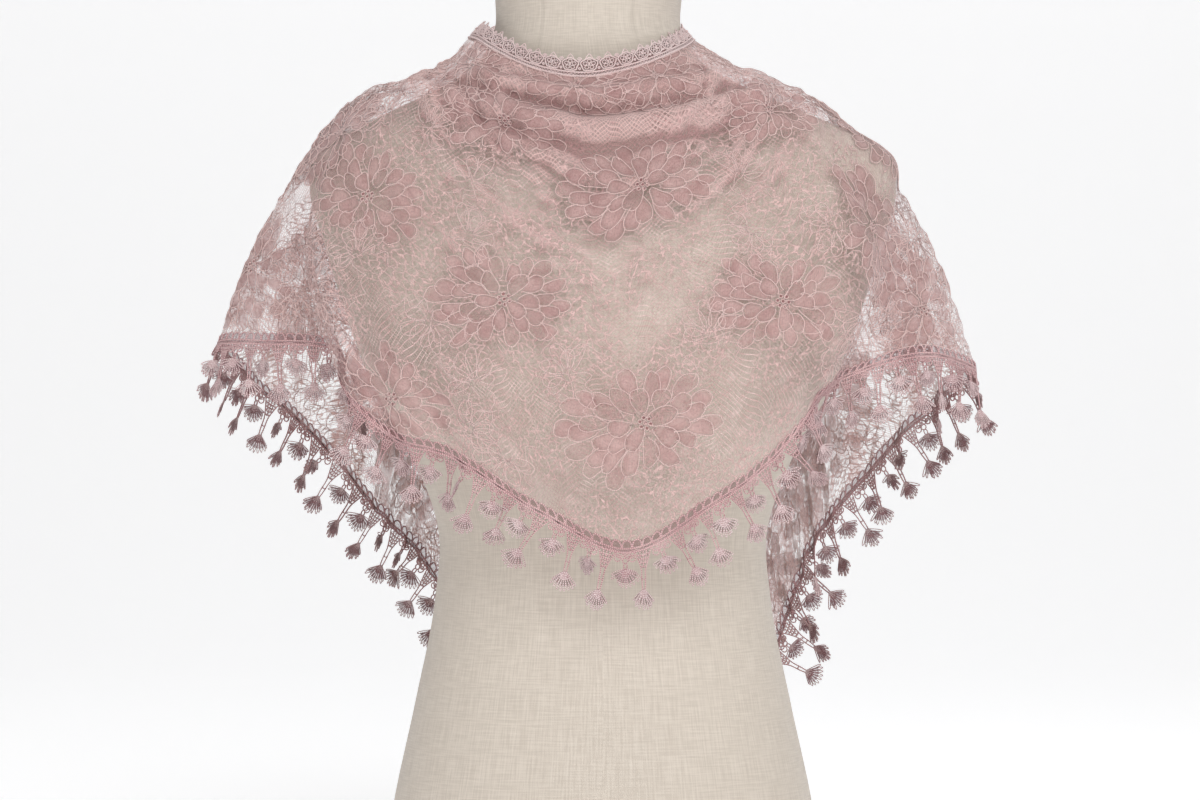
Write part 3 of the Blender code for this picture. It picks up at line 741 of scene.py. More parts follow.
def laceMaterial(values):
    # A diamond net, and over it, where a slow noise is high, an uneven web from the edges of
    # scattered cells: light threads with a band of painted shadow on each side. Between the threads
    # the sheet is open. A steep fold or a gather covers more, in a coarser mesh of its own, and a
    # hollow between folds is darkened with painted shade.
    material, n, flat = fabric("laceGround")
    net, = n.shared(slantedNet, Place=flat, Pitch=values["netPitch"], Width=values["netThread"])
    spot = n.add("ShaderNodeVectorMath", {0: flat, 1: (1 / values["webCell"],) * 3},
                 operation="MULTIPLY")
    bend = n.add("ShaderNodeTexNoise", {"Vector": spot, "Scale": 1.3, "Detail": 2.0}, output=1,
                 noise_dimensions="2D")
    bent = n.add("ShaderNodeVectorMath", {0: spot, 1: bend}, operation="ADD")
    edge = n.add("ShaderNodeTexVoronoi", {"Vector": bent, "Scale": 1.0, "Randomness": 1.0},
                 feature="DISTANCE_TO_EDGE", voronoi_dimensions="2D")
    width = values["webThread"]
    web = n.spread(edge, width * 0.40, width * 0.85, 1.0, 0.0)
    # painted shadow: a dark band along each side of every web thread
    flankShadow = n.spread(edge, width * 0.8, width * 1.8, 0.50, 0.0)
    zone = n.spread(n.noise(flat, 24.0, 3.0, 0.55, "2D"), 0.40, 0.52)
    webHere = n.maths("MULTIPLY", web, zone)
    flankShadowHere = n.maths("MULTIPLY", flankShadow, zone)
    netHere = n.maths("MULTIPLY", net, n.spread(zone, 0.0, 1.0, 0.86, 0.45))
    cover = n.maths("MAXIMUM", netHere, n.maths("MAXIMUM", webHere, flankShadowHere))
    grain = n.spread(n.noise(flat, 420.0, 1.0, 0.5, "2D"), 0.40, 0.66, 0.72, 1.0)
    cover = n.maths("MULTIPLY", cover, grain)
    gather = n.spread(n.attribute("fold"), 0.10, 0.60, 0.01, 0.46)
    mesh, = n.shared(slantedNet, Place=flat, Pitch=values["meshPitch"], Width=values["meshThread"])
    meshHere = n.maths("MULTIPLY", gather, mesh)
    gather = n.maths("MULTIPLY", gather, n.spread(mesh, 0.0, 1.0, 0.80, 1.35))
    alpha = n.maths("MINIMUM", n.maths("ADD", cover, gather), 1.0)
    tone, fine = n.shared(fibre, Place=flat, Fine=600.0, Slow=60.0)
    colour = n.blend(n.spread(tone, 0.40, 0.72), values["thread"], values["threadLight"])
    colour = n.blend(n.spread(meshHere, 0.0, 0.40), colour, values["web"])
    colour = n.blend(flankShadowHere, colour, values["webShade"])
    colour = n.blend(webHere, colour, values["web"])
    # painted shade: the lace is darkened in the hollows between folds
    colour = n.blend(n.maths("MULTIPLY", n.attribute("hollowShade"), 0.62), colour, values["hollowShade"])
    height = n.maths("ADD", n.maths("MULTIPLY", net, 0.5), webHere)
    setShader(n, Base_Color=colour, Roughness=0.82, Sheen_Weight=0.35, Sheen_Roughness=0.4,
              Specular_IOR_Level=0.3, Alpha=alpha, Normal=bumped(n, height, 0.0003))
    return material


borderWidth = 0.0094  # from the fringed edge up to where the open lace starts


def addGround(values):
    # The cloth as one thin sheet from the long edge to the border's upper cord.
    t = gridT * (1 - (borderWidth - 0.0012) / longT[:, -2])[:, None]
    s = np.broadcast_to(gridS[:, None], t.shape)
    points, flat, fold, low = (sample(table, s, t)
                               for table in (cloth, flatPlace, foldSlope, hollowShade))
    piece = addMesh("lace_sheet", points.reshape(-1, 3), gridFaces(*t.shape),
                    laceMaterial(values), uv=flat.reshape(-1, 2),
                    values={"fold": fold, "hollowShade": low})
    return declare(piece, "lace", "lace_front", "lace_wing_left", "lace_wing_right",
                   "lace_tail_left", "lace_tail_right")


laceSheet = addGround(ground)
print("lace ground ready")

# The flowers of the lace: place, lean of their long side in degrees, and size
flowers = (
    # s, t, lean, size
    (0.509, 0.483, 200.0, 1.00),
    (0.688, 0.280, 168.0, 1.05),
    (0.819, 0.590, 95.0, 1.05),
    (0.598, 0.525, 183.0, 0.98),
    (0.749, 0.605, 192.0, 0.98),
    (0.669, 0.735, 165.0, 1.10),
    (0.528, 0.880, 60.0, 0.90),
    (0.794, 0.260, 10.0, 0.80),
    (0.580, 0.185, 185.0, 0.95),
    (0.640, 0.050, 10.0, 0.85),
    (0.728, 0.060, 170.0, 0.85),
    (0.520, 0.075, 60.0, 0.80),
    (0.411, 0.800, 75.0, 0.95),
    (0.860, 0.880, 90.0, 0.90),
    (0.455, 0.420, 120.0, 0.90),
    (0.385, 0.420, 60.0, 0.95),
    (0.335, 0.700, 110.0, 1.00),
    (0.290, 0.380, 80.0, 0.95),
    (0.255, 0.760, 100.0, 0.95),
    (0.205, 0.420, 60.0, 0.90),
    (0.160, 0.740, 110.0, 0.85),
    (0.110, 0.400, 90.0, 0.75),
    (0.890, 0.420, 110.0, 0.95),
    (0.940, 0.720, 70.0, 1.00),
    (0.985, 0.400, 100.0, 0.95),
    (1.030, 0.760, 60.0, 1.00),
    (1.075, 0.420, 120.0, 0.90),
    (1.125, 0.760, 80.0, 0.90),
    (1.180, 0.420, 60.0, 0.80),
    (1.225, 0.700, 100.0, 0.65),
)

# The petals of one flower: how far apart and how far from the middle they are packed, their length
# and width, the flower's own reach, how much longer it is along its lean and towards it, and the
# share of a petal's length that lies inside of its middle
petals = {
    "apart": 0.0060,
    "core": 3.1,
    "length": 0.0180,
    "width": 0.0112,
    "reach": 0.0370,
    "longer": 0.28,
    "heavier": 0.12,
    "rootShare": 0.52,
    "fill": (0.43, 0.245, 0.235, 1.0),
    "fillLight": (0.63, 0.425, 0.405, 1.0),
    # painted shade inside the eyelets
    "eye": (0.30, 0.13, 0.13, 1.0),
    "cord": (0.88, 0.68, 0.645, 1.0),
    "cordShade": (0.70, 0.47, 0.45, 1.0),
    "cordRadius": 0.00040,
    "eyeRing": 0.0037,
    "eyeRadius": 0.00135,
    "fillShare": 0.98,
    "fillPitch": 0.0009,
}


def flowerShapes(values):
    # Every petal of every flower as a row: s, t, root distance, angle, length, width, bend, flower
    # and how thin its fill is. Each petal is turned by the golden angle from the one before it and
    # lies further out by the square root of its number, so they pack evenly, up to the flower's
    # own oval outline.
    random = np.random.default_rng(seed)
    rows = []
    k = np.arange(60)
    for index, (s, t, lean, size) in enumerate(flowers):
        angle = k * np.pi * (3 - 5 ** 0.5) + random.uniform(0, 2 * np.pi)
        middle = values["apart"] * size * np.sqrt(k + values["core"])
        away = angle - np.radians(lean)
        oval = 1 + values["longer"] * np.cos(2 * away) + values["heavier"] * np.cos(away)
        inside = middle < values["reach"] * size * oval
        number = inside.sum()
        length = values["length"] * size * (1 + random.uniform(-0.22, 0.20, number))
        rows.append(np.stack([
            np.full(number, s), np.full(number, t),
            middle[inside] - length * values["rootShare"],
            angle[inside] + random.uniform(-0.07, 0.07, number),
            length, values["width"] * size * (1 + random.uniform(-0.14, 0.10, number)),
            random.uniform(-0.0018, 0.0018, number), np.full(number, index),
            random.uniform(0, 1, number) ** 2], axis=1))
    return np.concatenate(rows)


def underOthers(rows, x, y):
    # Which points of the petals lie under an inner petal of the same flower.
    under = np.zeros(x.shape, bool)
    for index in range(len(flowers)):
        mine = np.flatnonzero(rows[:, 7] == index)
        cos, sin = np.cos(rows[mine, 3]), np.sin(rows[mine, 3])
        out = rows[mine, 2] + rows[mine, 4] / 2
        dx = x[mine][:, None] - (out * cos)[None, :, None]
        dy = y[mine][:, None] - (out * sin)[None, :, None]
        along = (dx * cos[:, None] + dy * sin[:, None]) / (rows[mine, 4, None] / 2)
        beside = (dy * cos[:, None] - dx * sin[:, None]) / (rows[mine, 5, None] / 2)
        order = np.arange(len(mine))
        inner = order[:, None] > order[None, :]
        under[mine] = ((along ** 2 + beside ** 2 < 0.90) & inner[..., None]).any(axis=1)
    return under


def facesKept(part, keep):
    # The same points, faces and values with only the faces that keep picks.
    points, faces, values = part
    used, index = np.unique(faces[keep], return_inverse=True)
    return points[used], index.reshape(-1, 4), values[used]


def turnedBy(angle, along, beside):
    # Places along and beside a direction, as metres across and down.
    return (along * np.cos(angle) - beside * np.sin(angle),
            along * np.sin(angle) + beside * np.cos(angle))


def petalLines(rows, steps):
    # Outlines of petals in metres across and down from their flower's middle. Over the turn f the
    # petal runs L(1-cos f)/2 out from its root and W sin f/2 to each side, fuller at its outer end.
    turn = np.linspace(0, 2 * np.pi, steps, endpoint=False)[None, :]
    root, angle, length, width, bend = (rows[:, k, None] for k in range(2, 7))
    out = (1 - np.cos(turn)) / 2
    side = np.sin(turn) * (0.72 + 0.36 * out) + 0.10 * np.sin(2 * turn + angle * 5)
    along = root + length * (out + 0.025 * np.sin(5 * turn + angle * 3))
    return turnedBy(angle, along, width / 2 * side + bend * np.sin(np.pi * out))


def laidOut(rows, x, y):
    # The places s and t of shapes about their flowers' middles, and which shapes lie mostly
    # within the lace. Points past its edges are brought back to them.
    s, t = walk(rows[:, 0, None], rows[:, 1, None], x, y)
    last = 1 - (borderWidth - 0.001) / sample(longT, s, 0.99)
    kept = ((t > 0.0) & (t < last)).mean(axis=1) > 0.55
    return s, np.clip(t, 0.004, last), kept


def fillMaterial(values):
    # Dense close threads: two fine sets of lines broken by fibres, thinning out towards the rim.
    material, n, flat = fabric("petalFill")
    across, down = n.parts(flat)
    tone, fine = n.shared(fibre, Place=flat, Fine=900.0, Slow=75.0)
    lines = [n.maths("PINGPONG", n.maths("DIVIDE", run, values["fillPitch"]), 0.5)
             for run in (across, down)]
    cloth = n.maths("ADD", *lines)
    rim = n.maths("ADD", n.attribute("rim"), n.maths("MULTIPLY", fine, 0.5))
    soft = n.spread(rim, 0.75, 1.45, 1.0, 0.15)
    dense = n.spread(n.maths("ADD", cloth, fine), 0.40, 1.25, 0.50, 0.86)
    full = n.spread(n.attribute("thin"), 0.2, 1.0, 1.0, 0.35)
    alpha = n.maths("MULTIPLY", n.maths("MULTIPLY", soft, dense), full)
    colour = n.blend(n.spread(tone, 0.40, 0.72), values["fill"], values["fillLight"])
    # painted shade: the discs inside the eyelets are darkened
    colour = n.blend(n.attribute("eye"), colour, values["eye"])
    setShader(n, Base_Color=colour, Roughness=0.8, Sheen_Weight=0.4, Sheen_Roughness=0.35,
              Specular_IOR_Level=0.3, Alpha=alpha, Normal=bumped(n, cloth, 0.0002))
    return material


def cordMaterial(name, light, shade, ply=0.0014, deep=0.9):
    # Thick thread: plies that wind round it, with painted highlight on each ply and painted shade
    # between them, painted lighter on its outer side and dark on the side that it hides from the
    # light, with a soft shine.
    material, n, wound = fabric(name)
    plies, outer = n.shared(winding, Wound=wound, Ply=ply)
    tone, fine = n.shared(fibre, Place=n.add("ShaderNodeTexCoord", {}, output=3), Fine=900.0,
                          Slow=45.0)
    # painted highlight and shade: the plies move the colour between its light and its shade
    tone = n.maths("ADD", tone, n.maths("MULTIPLY", plies, 0.24))
    colour = n.blend(n.spread(tone, 0.25, 0.85), shade, light)
    # painted shade on the side that the cord hides from the light
    colour = n.blend(n.spread(outer, 0.45, 1.0, deep, 0.0), colour,
                     tuple(0.60 * c for c in shade[:3]) + (1.0,))
    setShader(n, Base_Color=colour, Roughness=n.spread(fine, 0.3, 0.7, 0.72, 0.5),
              Sheen_Weight=0.25, Sheen_Roughness=0.35, Specular_IOR_Level=0.4,
              Normal=bumped(n, n.maths("ADD", plies, fine), 0.00016))
    return material


def petalFills(rows, x, y, whole, raised, values):
    # The soft fill of each petal: its outline shrunk in rings onto its middle. What an inner petal
    # covers of an outer one is left out.
    middle = rows[:, 2] + rows[:, 4] * values["rootShare"]
    rings = np.array([0.04, 0.45, 0.75, 1.0])
    shrunk = []
    for line, side in ((x, np.cos), (y, np.sin)):
        centre = (middle * side(rows[:, 3]))[:, None, None]
        inner = centre + (line[:, None, :] - centre) * (rings[:, None] * values["fillShare"])
        shrunk.append(inner.reshape(len(rows), -1))
    s, t, _ = laidOut(rows, *shrunk)
    s, t = s[whole], t[whole]
    covered = underOthers(rows, *shrunk)[whole].reshape(-1)
    points, _ = onCloth(s, t, 0.0002 + raised)
    faces = copied(gridFaces(len(rings), x.shape[1], around=True), *s.shape)
    rim = np.tile(np.repeat(rings, x.shape[1]), len(s))
    thin = np.repeat(rows[whole, 8], s.shape[1])
    look = np.column_stack([sample(flatPlace, s, t).reshape(-1, 2), rim, 0 * rim, thin])
    return facesKept((points.reshape(-1, 3), faces, look), ~covered[faces].all(axis=1))


def eyelets(values):
    # Seven small rings in the middle of each flower as cords, and inside each a dark disc of
    # painted shade where its hole shows shadow.
    sides = 9
    ring = [(0.0, 0.0)] + [(values["eyeRing"], k * np.pi / 3 + 0.3) for k in range(6)]
    away, angle = np.array(ring).T
    turn = np.linspace(0, 2 * np.pi, sides, endpoint=False)
    table = np.array(flowers)
    where = np.repeat(table[:, :2], len(ring), axis=0)
    placed = []
    for share in (1.0, 0.04):
        placed.append(laidOut(where, *(
            np.tile((away * side(angle))[:, None] + values["eyeRadius"] * share * side(turn),
                    (len(table), 1)) for side in (np.cos, np.sin))))
    kept = placed[0][2]
    (rims, normal), (inner, _) = (onCloth(s[kept], t[kept], 0.0008) for s, t, _ in placed)
    flat = sample(flatPlace, placed[0][0][kept], placed[0][1][kept])
    points = np.stack([inner, rims], axis=1)
    look = np.concatenate([np.stack([flat, flat], axis=1),
                           np.broadcast_to([0.0, 1.0, 0.0], points.shape)], axis=3)
    faces = copied(gridFaces(2, sides, around=True), len(points), 2 * sides)
    disc = (points.reshape(-1, 3), faces, look.reshape(-1, 5))
    return tubes(rims, normal, 0.0004, closed=True), disc


def addPetals(values):
    # The flowers: a soft dense fill in each petal as one piece, and as cords for another a raised
    # one round each petal, sunk where an inner petal covers it, and the rings of the eyelets.
    rows = flowerShapes(values)
    x, y = petalLines(rows, 22)
    s, t, whole = laidOut(rows, x, y)
    raised = 0.0003 * np.clip(1 - rows[whole, 2] / 0.05, 0, 1)[:, None]
    under = underOthers(rows, x, y)[whole]
    cords = tubes(*onCloth(s[whole], t[whole], 0.00035 + raised - 0.0006 * under),
                  values["cordRadius"], closed=True, flat=0.8)
    hidden = under & np.roll(under, -1, axis=1)
    rings, discs = eyelets(values)
    points, faces, look = joined([petalFills(rows, x, y, whole, raised, values), discs])
    fill = addMesh("lace_petals", points, faces, fillMaterial(values), uv=look[:, :2],
                   values={"rim": look[:, 2], "eye": look[:, 3], "thin": look[:, 4]})
    return declare(fill, "lace"), [facesKept(cords, np.repeat(~hidden.reshape(-1), 4)), rings]


# The outlined leaves and winding threads: how many small fans of leaves, the leaves in each, how
# far they stay from a flower's middle and from each other, and their sizes
leaves = {
    "groups": 64,
    "tries": 900,
    "number": 6,
    "clear": 0.040,
    "apart": 0.030,
    "length": (0.013, 0.021),
    "width": (0.008, 0.011),
    "radius": 0.00036,
    "threadLength": (0.045, 0.075),
    "threadSwing": (0.005, 0.009),
    "threadRadius": 0.00033,
}


def leafLines(values):
    # Outline-only leaves in fans, and by each fan two threads that swing from side to side, where
    # no flower is near.
    random = np.random.default_rng(seed + 1)
    tries = np.stack([random.uniform(0.06, gridS[-1] - 0.06, values["tries"]),
                      random.uniform(0.05, 0.93, values["tries"])], axis=1)
    spots = sample(cloth, tries[:, 0], tries[:, 1])
    table = np.array(flowers)
    middles = sample(cloth, table[:, 0], table[:, 1])
    away = np.linalg.norm(spots[:, None] - middles[None], axis=2).min(axis=1)
    chosen = []
    for k in np.flatnonzero(away > values["clear"]):
        if all(np.linalg.norm(spots[k] - spots[m]) > values["apart"] for m in chosen):
            chosen.append(k)
    chosen = np.array(chosen[:values["groups"]])
    number = values["number"]
    rows = []
    for k in chosen:
        lean = random.uniform(0, 360)
        angle = lean + (np.arange(number) - (number - 1) / 2) * random.uniform(26, 40)
        rows.append(np.stack([
            np.full(number, tries[k, 0]), np.full(number, tries[k, 1]),
            np.full(number, 0.004), np.radians(angle + random.uniform(-6, 6, number)),
            random.uniform(*values["length"], number), random.uniform(*values["width"], number),
            random.uniform(-0.002, 0.002, number)], axis=1))
    rows = np.concatenate(rows)
    run = np.linspace(0, 1, 38)[None, :]
    angle, swing, phase, length = (
        random.uniform(*limits, len(chosen) * 2)[:, None]
        for limits in ((0, 2 * np.pi), values["threadSwing"], (0, 6.28), values["threadLength"]))
    along = (run - 0.5) * length + 0.002 * np.cos(run * 31.0 + phase)
    beside = swing * np.sin(run * 9.0 + phase) + 0.003 * np.sin(run * 31.0 + phase * 2)
    cords = []
    for where, shapes, height, radius, closed in (
            (rows, petalLines(rows, 18), 0.0003, values["radius"], True),
            (np.repeat(tries[chosen], 2, axis=0), turnedBy(angle, along, beside), 0.00028,
             values["threadRadius"], False)):
        s, t, kept = laidOut(where, *shapes)
        cords.append(tubes(*onCloth(s[kept], t[kept], height), radius, closed=closed, flat=0.75))
    return cords


petalFill, cordParts = addPetals(petals)
laceThread = cordMaterial("laceCord", petals["cord"], petals["cordShade"], deep=0.4)
laceCords = addPiece("lace_cords", cordParts, laceThread, "lace")
leafCords = addPiece("leaf_cords", leafLines(leaves), laceThread, "lace")
print("flowers ready")

# The border: a row of loops on a corded braid, with pendants by turns long and short
border = {
    "repeat": 0.024,
    "loopPitch": 0.0068,
    "loopHeight": 0.0052,
    "braidWidth": 0.0036,
    "cordRadius": 0.00072,
    "fillerRadius": 0.0005,
    "loopRadius": 0.00056,
    "strandRadius": 0.00055,
    "fingerRadius": 0.00040,
    "light": (0.86, 0.63, 0.62, 1.0),
    "shade": (0.42, 0.18, 0.195, 1.0),
    "headLight": (0.98, 0.84, 0.83, 1.0),
    "headShade": (0.50, 0.27, 0.285, 1.0),
    "net": (0.42, 0.23, 0.235, 1.0),
    # painted shade: the colour of the dark net behind the fans and the braid
    "web": (0.30, 0.115, 0.13, 1.0),
    "droop": 0.27,
    "swing": 0.10,
    "twist": 0.45,
    "kinds": (
        # top of the fan head, its fingers, its reach, and half the angle it opens to
        (0.0262, 9, 0.0138, 0.92),
        (0.0108, 11, 0.0125, 1.30),
    ),
}
hemLength = hemRun[-1]


def hemPlace(run):
    # The place s along the cloth of a distance along its fringed edge.
    return np.interp(run, hemRun, gridS)


def onBorder(run, rise, height):
    # Points of the border this far up the cloth from the braid's outer cord, and normals there.
    s = hemPlace(run)
    return onCloth(s, 1 - rise / sample(longT, s, 0.995), height)


def braidParts(values):
    # Two rippled cords along the edge with a wavy filler thread between them, and the row of loops
    # above, each half a turn of an oval.
    width, thick = values["braidWidth"], values["cordRadius"]
    run = np.linspace(0.0008, hemLength - 0.0008, int(hemLength / 0.0012))[None, :]
    ripple = 0.00018 * np.sin(run * 2 * np.pi / 0.0031)
    zigzag = 0.44 + 0.34 * np.sin(run * 2 * np.pi / 0.0026)
    number = int(hemLength / values["loopPitch"])
    pitch = hemLength / number
    turn = np.pi * np.linspace(0, 1, 13)[None, :]
    start = (np.arange(number) + 0.5)[:, None] * pitch
    loop = start - np.cos(turn) * pitch * 0.45 * (1 + 0.10 * np.sin(turn) ** 2)
    rise = np.sin(turn) ** 0.85 * values["loopHeight"]
    return [tubes(*onBorder(at, up, height), radius, sides, flat=flat)
            for at, up, height, radius, sides, flat in (
                (run, 0.0004 + ripple, 0.0003, thick, 6, 0.9),
                (run, width - 0.0006 + ripple, 0.0003, thick * 0.9, 6, 0.9),
                (run, width * zigzag, 0.0002, values["fillerRadius"], 4, 1.0),
                (loop, width - 0.0004 + rise, 0.00035, values["loopRadius"], 5, 0.85))]


def ringLine(x, y, wide, high, steps=11):
    # An oval about x across and y down.
    turn = np.linspace(0, 2 * np.pi, steps)
    return np.stack([x + wide * np.cos(turn), y + high * np.sin(turn), 0 * turn], axis=1)


def bentLine(points, steps=11):
    # A smooth line through a few places across and down.
    points = np.pad(np.array(points), ((0, 0), (0, 1)))
    if len(points) == 2:
        points = np.stack([points[0], points.mean(axis=0), points[1]])
    return hermite(np.arange(len(points)), points, np.linspace(0, len(points) - 1, steps))


def fanLines(top, fingers, reach, opening, steps=11):
    # The fingers of a fan head that opens below top, each a narrow loop bowed out of its plane.
    f = np.linspace(0, 1, steps)
    lines = []
    for k in range(fingers):
        a = opening * (2 * k / (fingers - 1) - 1)
        side, low = math.sin(a), math.cos(a)
        long = reach * (1 - 0.12 * abs(side))
        out = long * np.sin(np.pi * f) ** 0.7
        across = 0.00092 * np.cos(np.pi * f) * (0.6 + 0.8 * out / long)
        bow = 0.0011 * np.sin(out / long * 2.2) * (1 if k % 2 else 0.4)
        lines.append(np.stack([side * out + low * across, top + low * out - side * across, bow],
                              axis=1))
    return lines


def pendantLines():
    # The cords of the long and the short pendant, and of the arches beside a long one, as points
    # across, down and out from the braid.
    strand = ((0.0056, 0.0), (0.0046, 0.0025), (0.0031, 0.0068), (0.0017, 0.0115),
              (0.0012, 0.0150), (0.0012, 0.0205), (0.0008, 0.0262))
    arch = ((0.0060, 0.0), (0.0072, 0.0026), (0.0094, 0.0034), (0.0108, 0.0014), (0.0112, 0.0))
    long = [bentLine([(side * x, y) for x, y in strand]) for side in (-1, 1)]
    for y, half in ((0.0026, 0.0044), (0.0052, 0.0036), (0.0078, 0.0026), (0.0104, 0.0019)):
        long.append(bentLine([(-half, y), (0.0, y + 0.0006), (half, y)], 5))
    for x, low in ((-0.0024, 0.0078), (0.0, 0.0118), (0.0024, 0.0078)):
        long.append(bentLine([(x, 0.0), (x * 0.6, low)], 4))
    long.append(bentLine([(-0.0012, 0.0188), (0.0, 0.0196), (0.0012, 0.0188)], 4))
    short = [ringLine(x, y, wide, high) for x, y, wide, high in (
        (-0.0021, 0.0020, 0.0018, 0.0018), (0.0021, 0.0020, 0.0018, 0.0018),
        (0.0, 0.0052, 0.0018, 0.0018), (0.0, 0.0089, 0.0012, 0.0021))]
    right, left = (bentLine([(side * x, y) for x, y in arch], 9) for side in (1, -1))
    rings = [ringLine(x, 0.0036, 0.0022, 0.0022, 10) for x in (0.0083, -0.0083)]
    return long, short, [right, *rings, left]


def pendantNets(run, frames, size):
    # A patch of fine net inside each long pendant, between its two upper cords.
    down = np.linspace(0.0, 0.0118, 7)
    half = np.interp(down, [0.0, 0.0025, 0.0068, 0.0118], [0.0056, 0.0046, 0.0031, 0.0016])
    across = np.linspace(-1, 1, 5)
    flat = np.stack(np.broadcast_arrays(half[:, None] * across, down[:, None]), axis=2)
    rows = placedLines(np.pad(flat, ((0, 0), (0, 0), (0, 1))), run, frames, size)
    points = np.stack(rows, axis=1) - frames[3][:, None, None] * 0.0003
    faces = copied(gridFaces(7, 5), len(run), 35)
    return points.reshape(-1, 3), faces, np.tile(flat.reshape(-1, 2), (len(run), 1))


def netMaterial(name, pitch, width, thread):
    # A close even net, open between its threads.
    material, n, flat = fabric(name)
    net, = n.shared(slantedNet, Place=flat, Pitch=pitch, Width=width)
    tone, fine = n.shared(fibre, Place=flat, Fine=900.0, Slow=200.0)
    dark = tuple(0.55 * c for c in thread[:3]) + (1.0,)
    setShader(n, Base_Color=n.blend(n.spread(tone, 0.40, 0.72), dark, thread), Roughness=0.8,
              Sheen_Weight=0.3, Sheen_Roughness=0.4, Specular_IOR_Level=0.3,
              Alpha=n.maths("MULTIPLY", net, 0.95), Normal=bumped(n, net, 0.0002))
    return material


def pendantFrames(run, values, random):
    # Where each pendant hangs from, and its directions down, across and out, mostly square to the
    # edge and drooping a little, each swung by a small amount of its own. The last two are its
    # head's directions across and out, twisted by another.
    s = hemPlace(run)
    after, before = (sample(cloth, hemPlace(run + step), 1.0) for step in (0.003, -0.003))
    along = unit(after - before)
    down = unit(np.cross(along, sample(clothNormal, s, 0.985)))
    hang = unit(down * (1 - values["droop"]) - np.array([0.0, 0.0, values["droop"]]))
    swing = random.normal(0, values["swing"], len(run))
    hang = unit(hang + along * swing[:, None])
    side = unit(along - hang * (along * hang).sum(axis=1, keepdims=True))
    front = np.cross(hang, side)
    twist = random.normal(0, values["twist"], len(run))
    turned = side * np.cos(twist)[:, None] + front * np.sin(twist)[:, None]
    return sample(cloth, s, 1.0), hang, side, front, turned, np.cross(hang, turned)


def placedLines(lines, run, frames, size):
    # One pendant's lines at every place in run. Near the braid they follow the edge's curve.
    origin, hang, side, front = (table[:, None] for table in frames[:4])
    made = []
    for line in lines:
        x, y = (line[None, :, k] * size[:, None] for k in (0, 1))
        near = np.clip(1 - y / 0.012, 0, 1)
        base = sample(cloth, hemPlace(run[:, None] + x * near), 1.0)
        base = base * (near > 0)[..., None] + origin * (near == 0)[..., None]
        made.append(base + side * (x * (1 - near))[..., None] + hang * y[..., None]
                    + front * (line[None, :, 2, None] + 0.0002))
    return made


def inHead(frames, x, y, z):
    # Points across, down and out in the twisted plane of each pendant's head.
    origin, hang, turned, face = (frames[k][:, None] for k in (0, 1, 4, 5))
    return origin + turned * x[..., None] + hang * y[..., None] + face * np.asarray(z)[..., None]


def fanShadeNet(top, reach, opening, frames, size):
    # A dark net of painted shade in the gaps between the fingers of each fan, as a part of a disc.
    angle = np.linspace(-opening, opening, 9)
    share = np.array([0.12, 0.45, 0.74])[:, None]
    x = (0.9 * reach * share * np.sin(angle)).reshape(-1)
    y = (reach * share * np.cos(angle) + top).reshape(-1)
    points = inHead(frames, x, y * size[:, None], 0.0)
    faces = copied(gridFaces(3, 9), len(size), 27)
    return points.reshape(-1, 3), faces, np.tile(np.stack([x, y], axis=1), (len(size), 1))


def braidShadeNet(values):
    # The same dark net of painted shade behind the braid and its loops.
    run = np.linspace(0.0008, hemLength - 0.0008, 1000)
    rise = np.array([0.0004, 0.5, 1.0]) * (values["braidWidth"] + values["loopHeight"] * 0.85)
    grid = np.stack(np.meshgrid(run, rise, indexing="ij"), axis=2)
    points, _ = onBorder(grid[..., 0], grid[..., 1], 0.0001)
    return points.reshape(-1, 3), gridFaces(*grid.shape[:2]), grid.reshape(-1, 2)


def addBorder(values):
    # The braid with its loops as one piece, the hanging cords as another, the fan heads as a
    # third, and the net in the pendants and a dark net of painted shade behind the fans and the
    # braid as two more.
    random = np.random.default_rng(seed + 2)
    thick, thin = values["strandRadius"], values["fingerRadius"]
    cords = cordMaterial("borderCord", values["light"], values["shade"], deep=0.8)
    braid = addPiece("border_braid", braidParts(values), cords, "braid", "fringe_front_left",
                     "fringe_front_right", "fringe_back_left", "fringe_back_right")
    count = int(hemLength / values["repeat"])
    repeat = hemLength / count
    longAt = (np.arange(count) + 0.5) * repeat
    long, short, arches = pendantLines()
    hanging, heads, shadeNets, nets = [], [], [braidShadeNet(values)], []
    for at, lines, (top, fingers, reach, opening) in zip(
            (longAt, np.arange(1, count) * repeat), (long, short), values["kinds"]):
        size = 1 + random.uniform(-0.06, 0.06, len(at))
        frames = pendantFrames(at, values, random)
        front, face = frames[3][:, None], frames[5][:, None]
        for path in placedLines(lines, at, frames, size):
            hanging.append(tubes(path, front, thick))
        for line in fanLines(top, fingers, reach, opening):
            spread = random.uniform(0.72, 1.08, len(at))
            path = inHead(frames, line[:, 0] * spread[:, None], line[:, 1] * size[:, None],
                          line[:, 2])
            heads.append(tubes(path, face, thin))
        shadeNets.append(fanShadeNet(top, reach, opening, frames, size))
        knot = ringLine(0.0, top + 0.0030, 0.0022, 0.0026, 9)
        path = inHead(frames, knot[:, 0], knot[:, 1] * size[:, None], 0.0006)
        heads.append(tubes(path, face, thick, 5))
        if lines is long:
            nets.append(pendantNets(at, frames, size))
    frames = pendantFrames(longAt, values, random)
    for path in placedLines(arches, longAt, frames, np.ones(count)):
        hanging.append(tubes(path, frames[3][:, None], thick))
    strands = addPiece("border_pendants", hanging, cords, "braid")
    fanThread = cordMaterial("fanThread", values["headLight"], values["headShade"])
    fans = addPiece("border_fans", heads, fanThread, "braid")
    net = addPiece("border_net", nets,
                   netMaterial("pendantNet", 0.0021, 0.075, values["net"]), "braid")
    # painted shade: a dark net behind the fans and the braid
    shadeBacking = addPiece("border_shade_net", shadeNets,
                     netMaterial("paintedShadeNet", 0.0009, 0.17, values["web"]), "braid")
    return braid, strands, fans, net, shadeBacking


borderPieces = addBorder(border)
print("border ready")

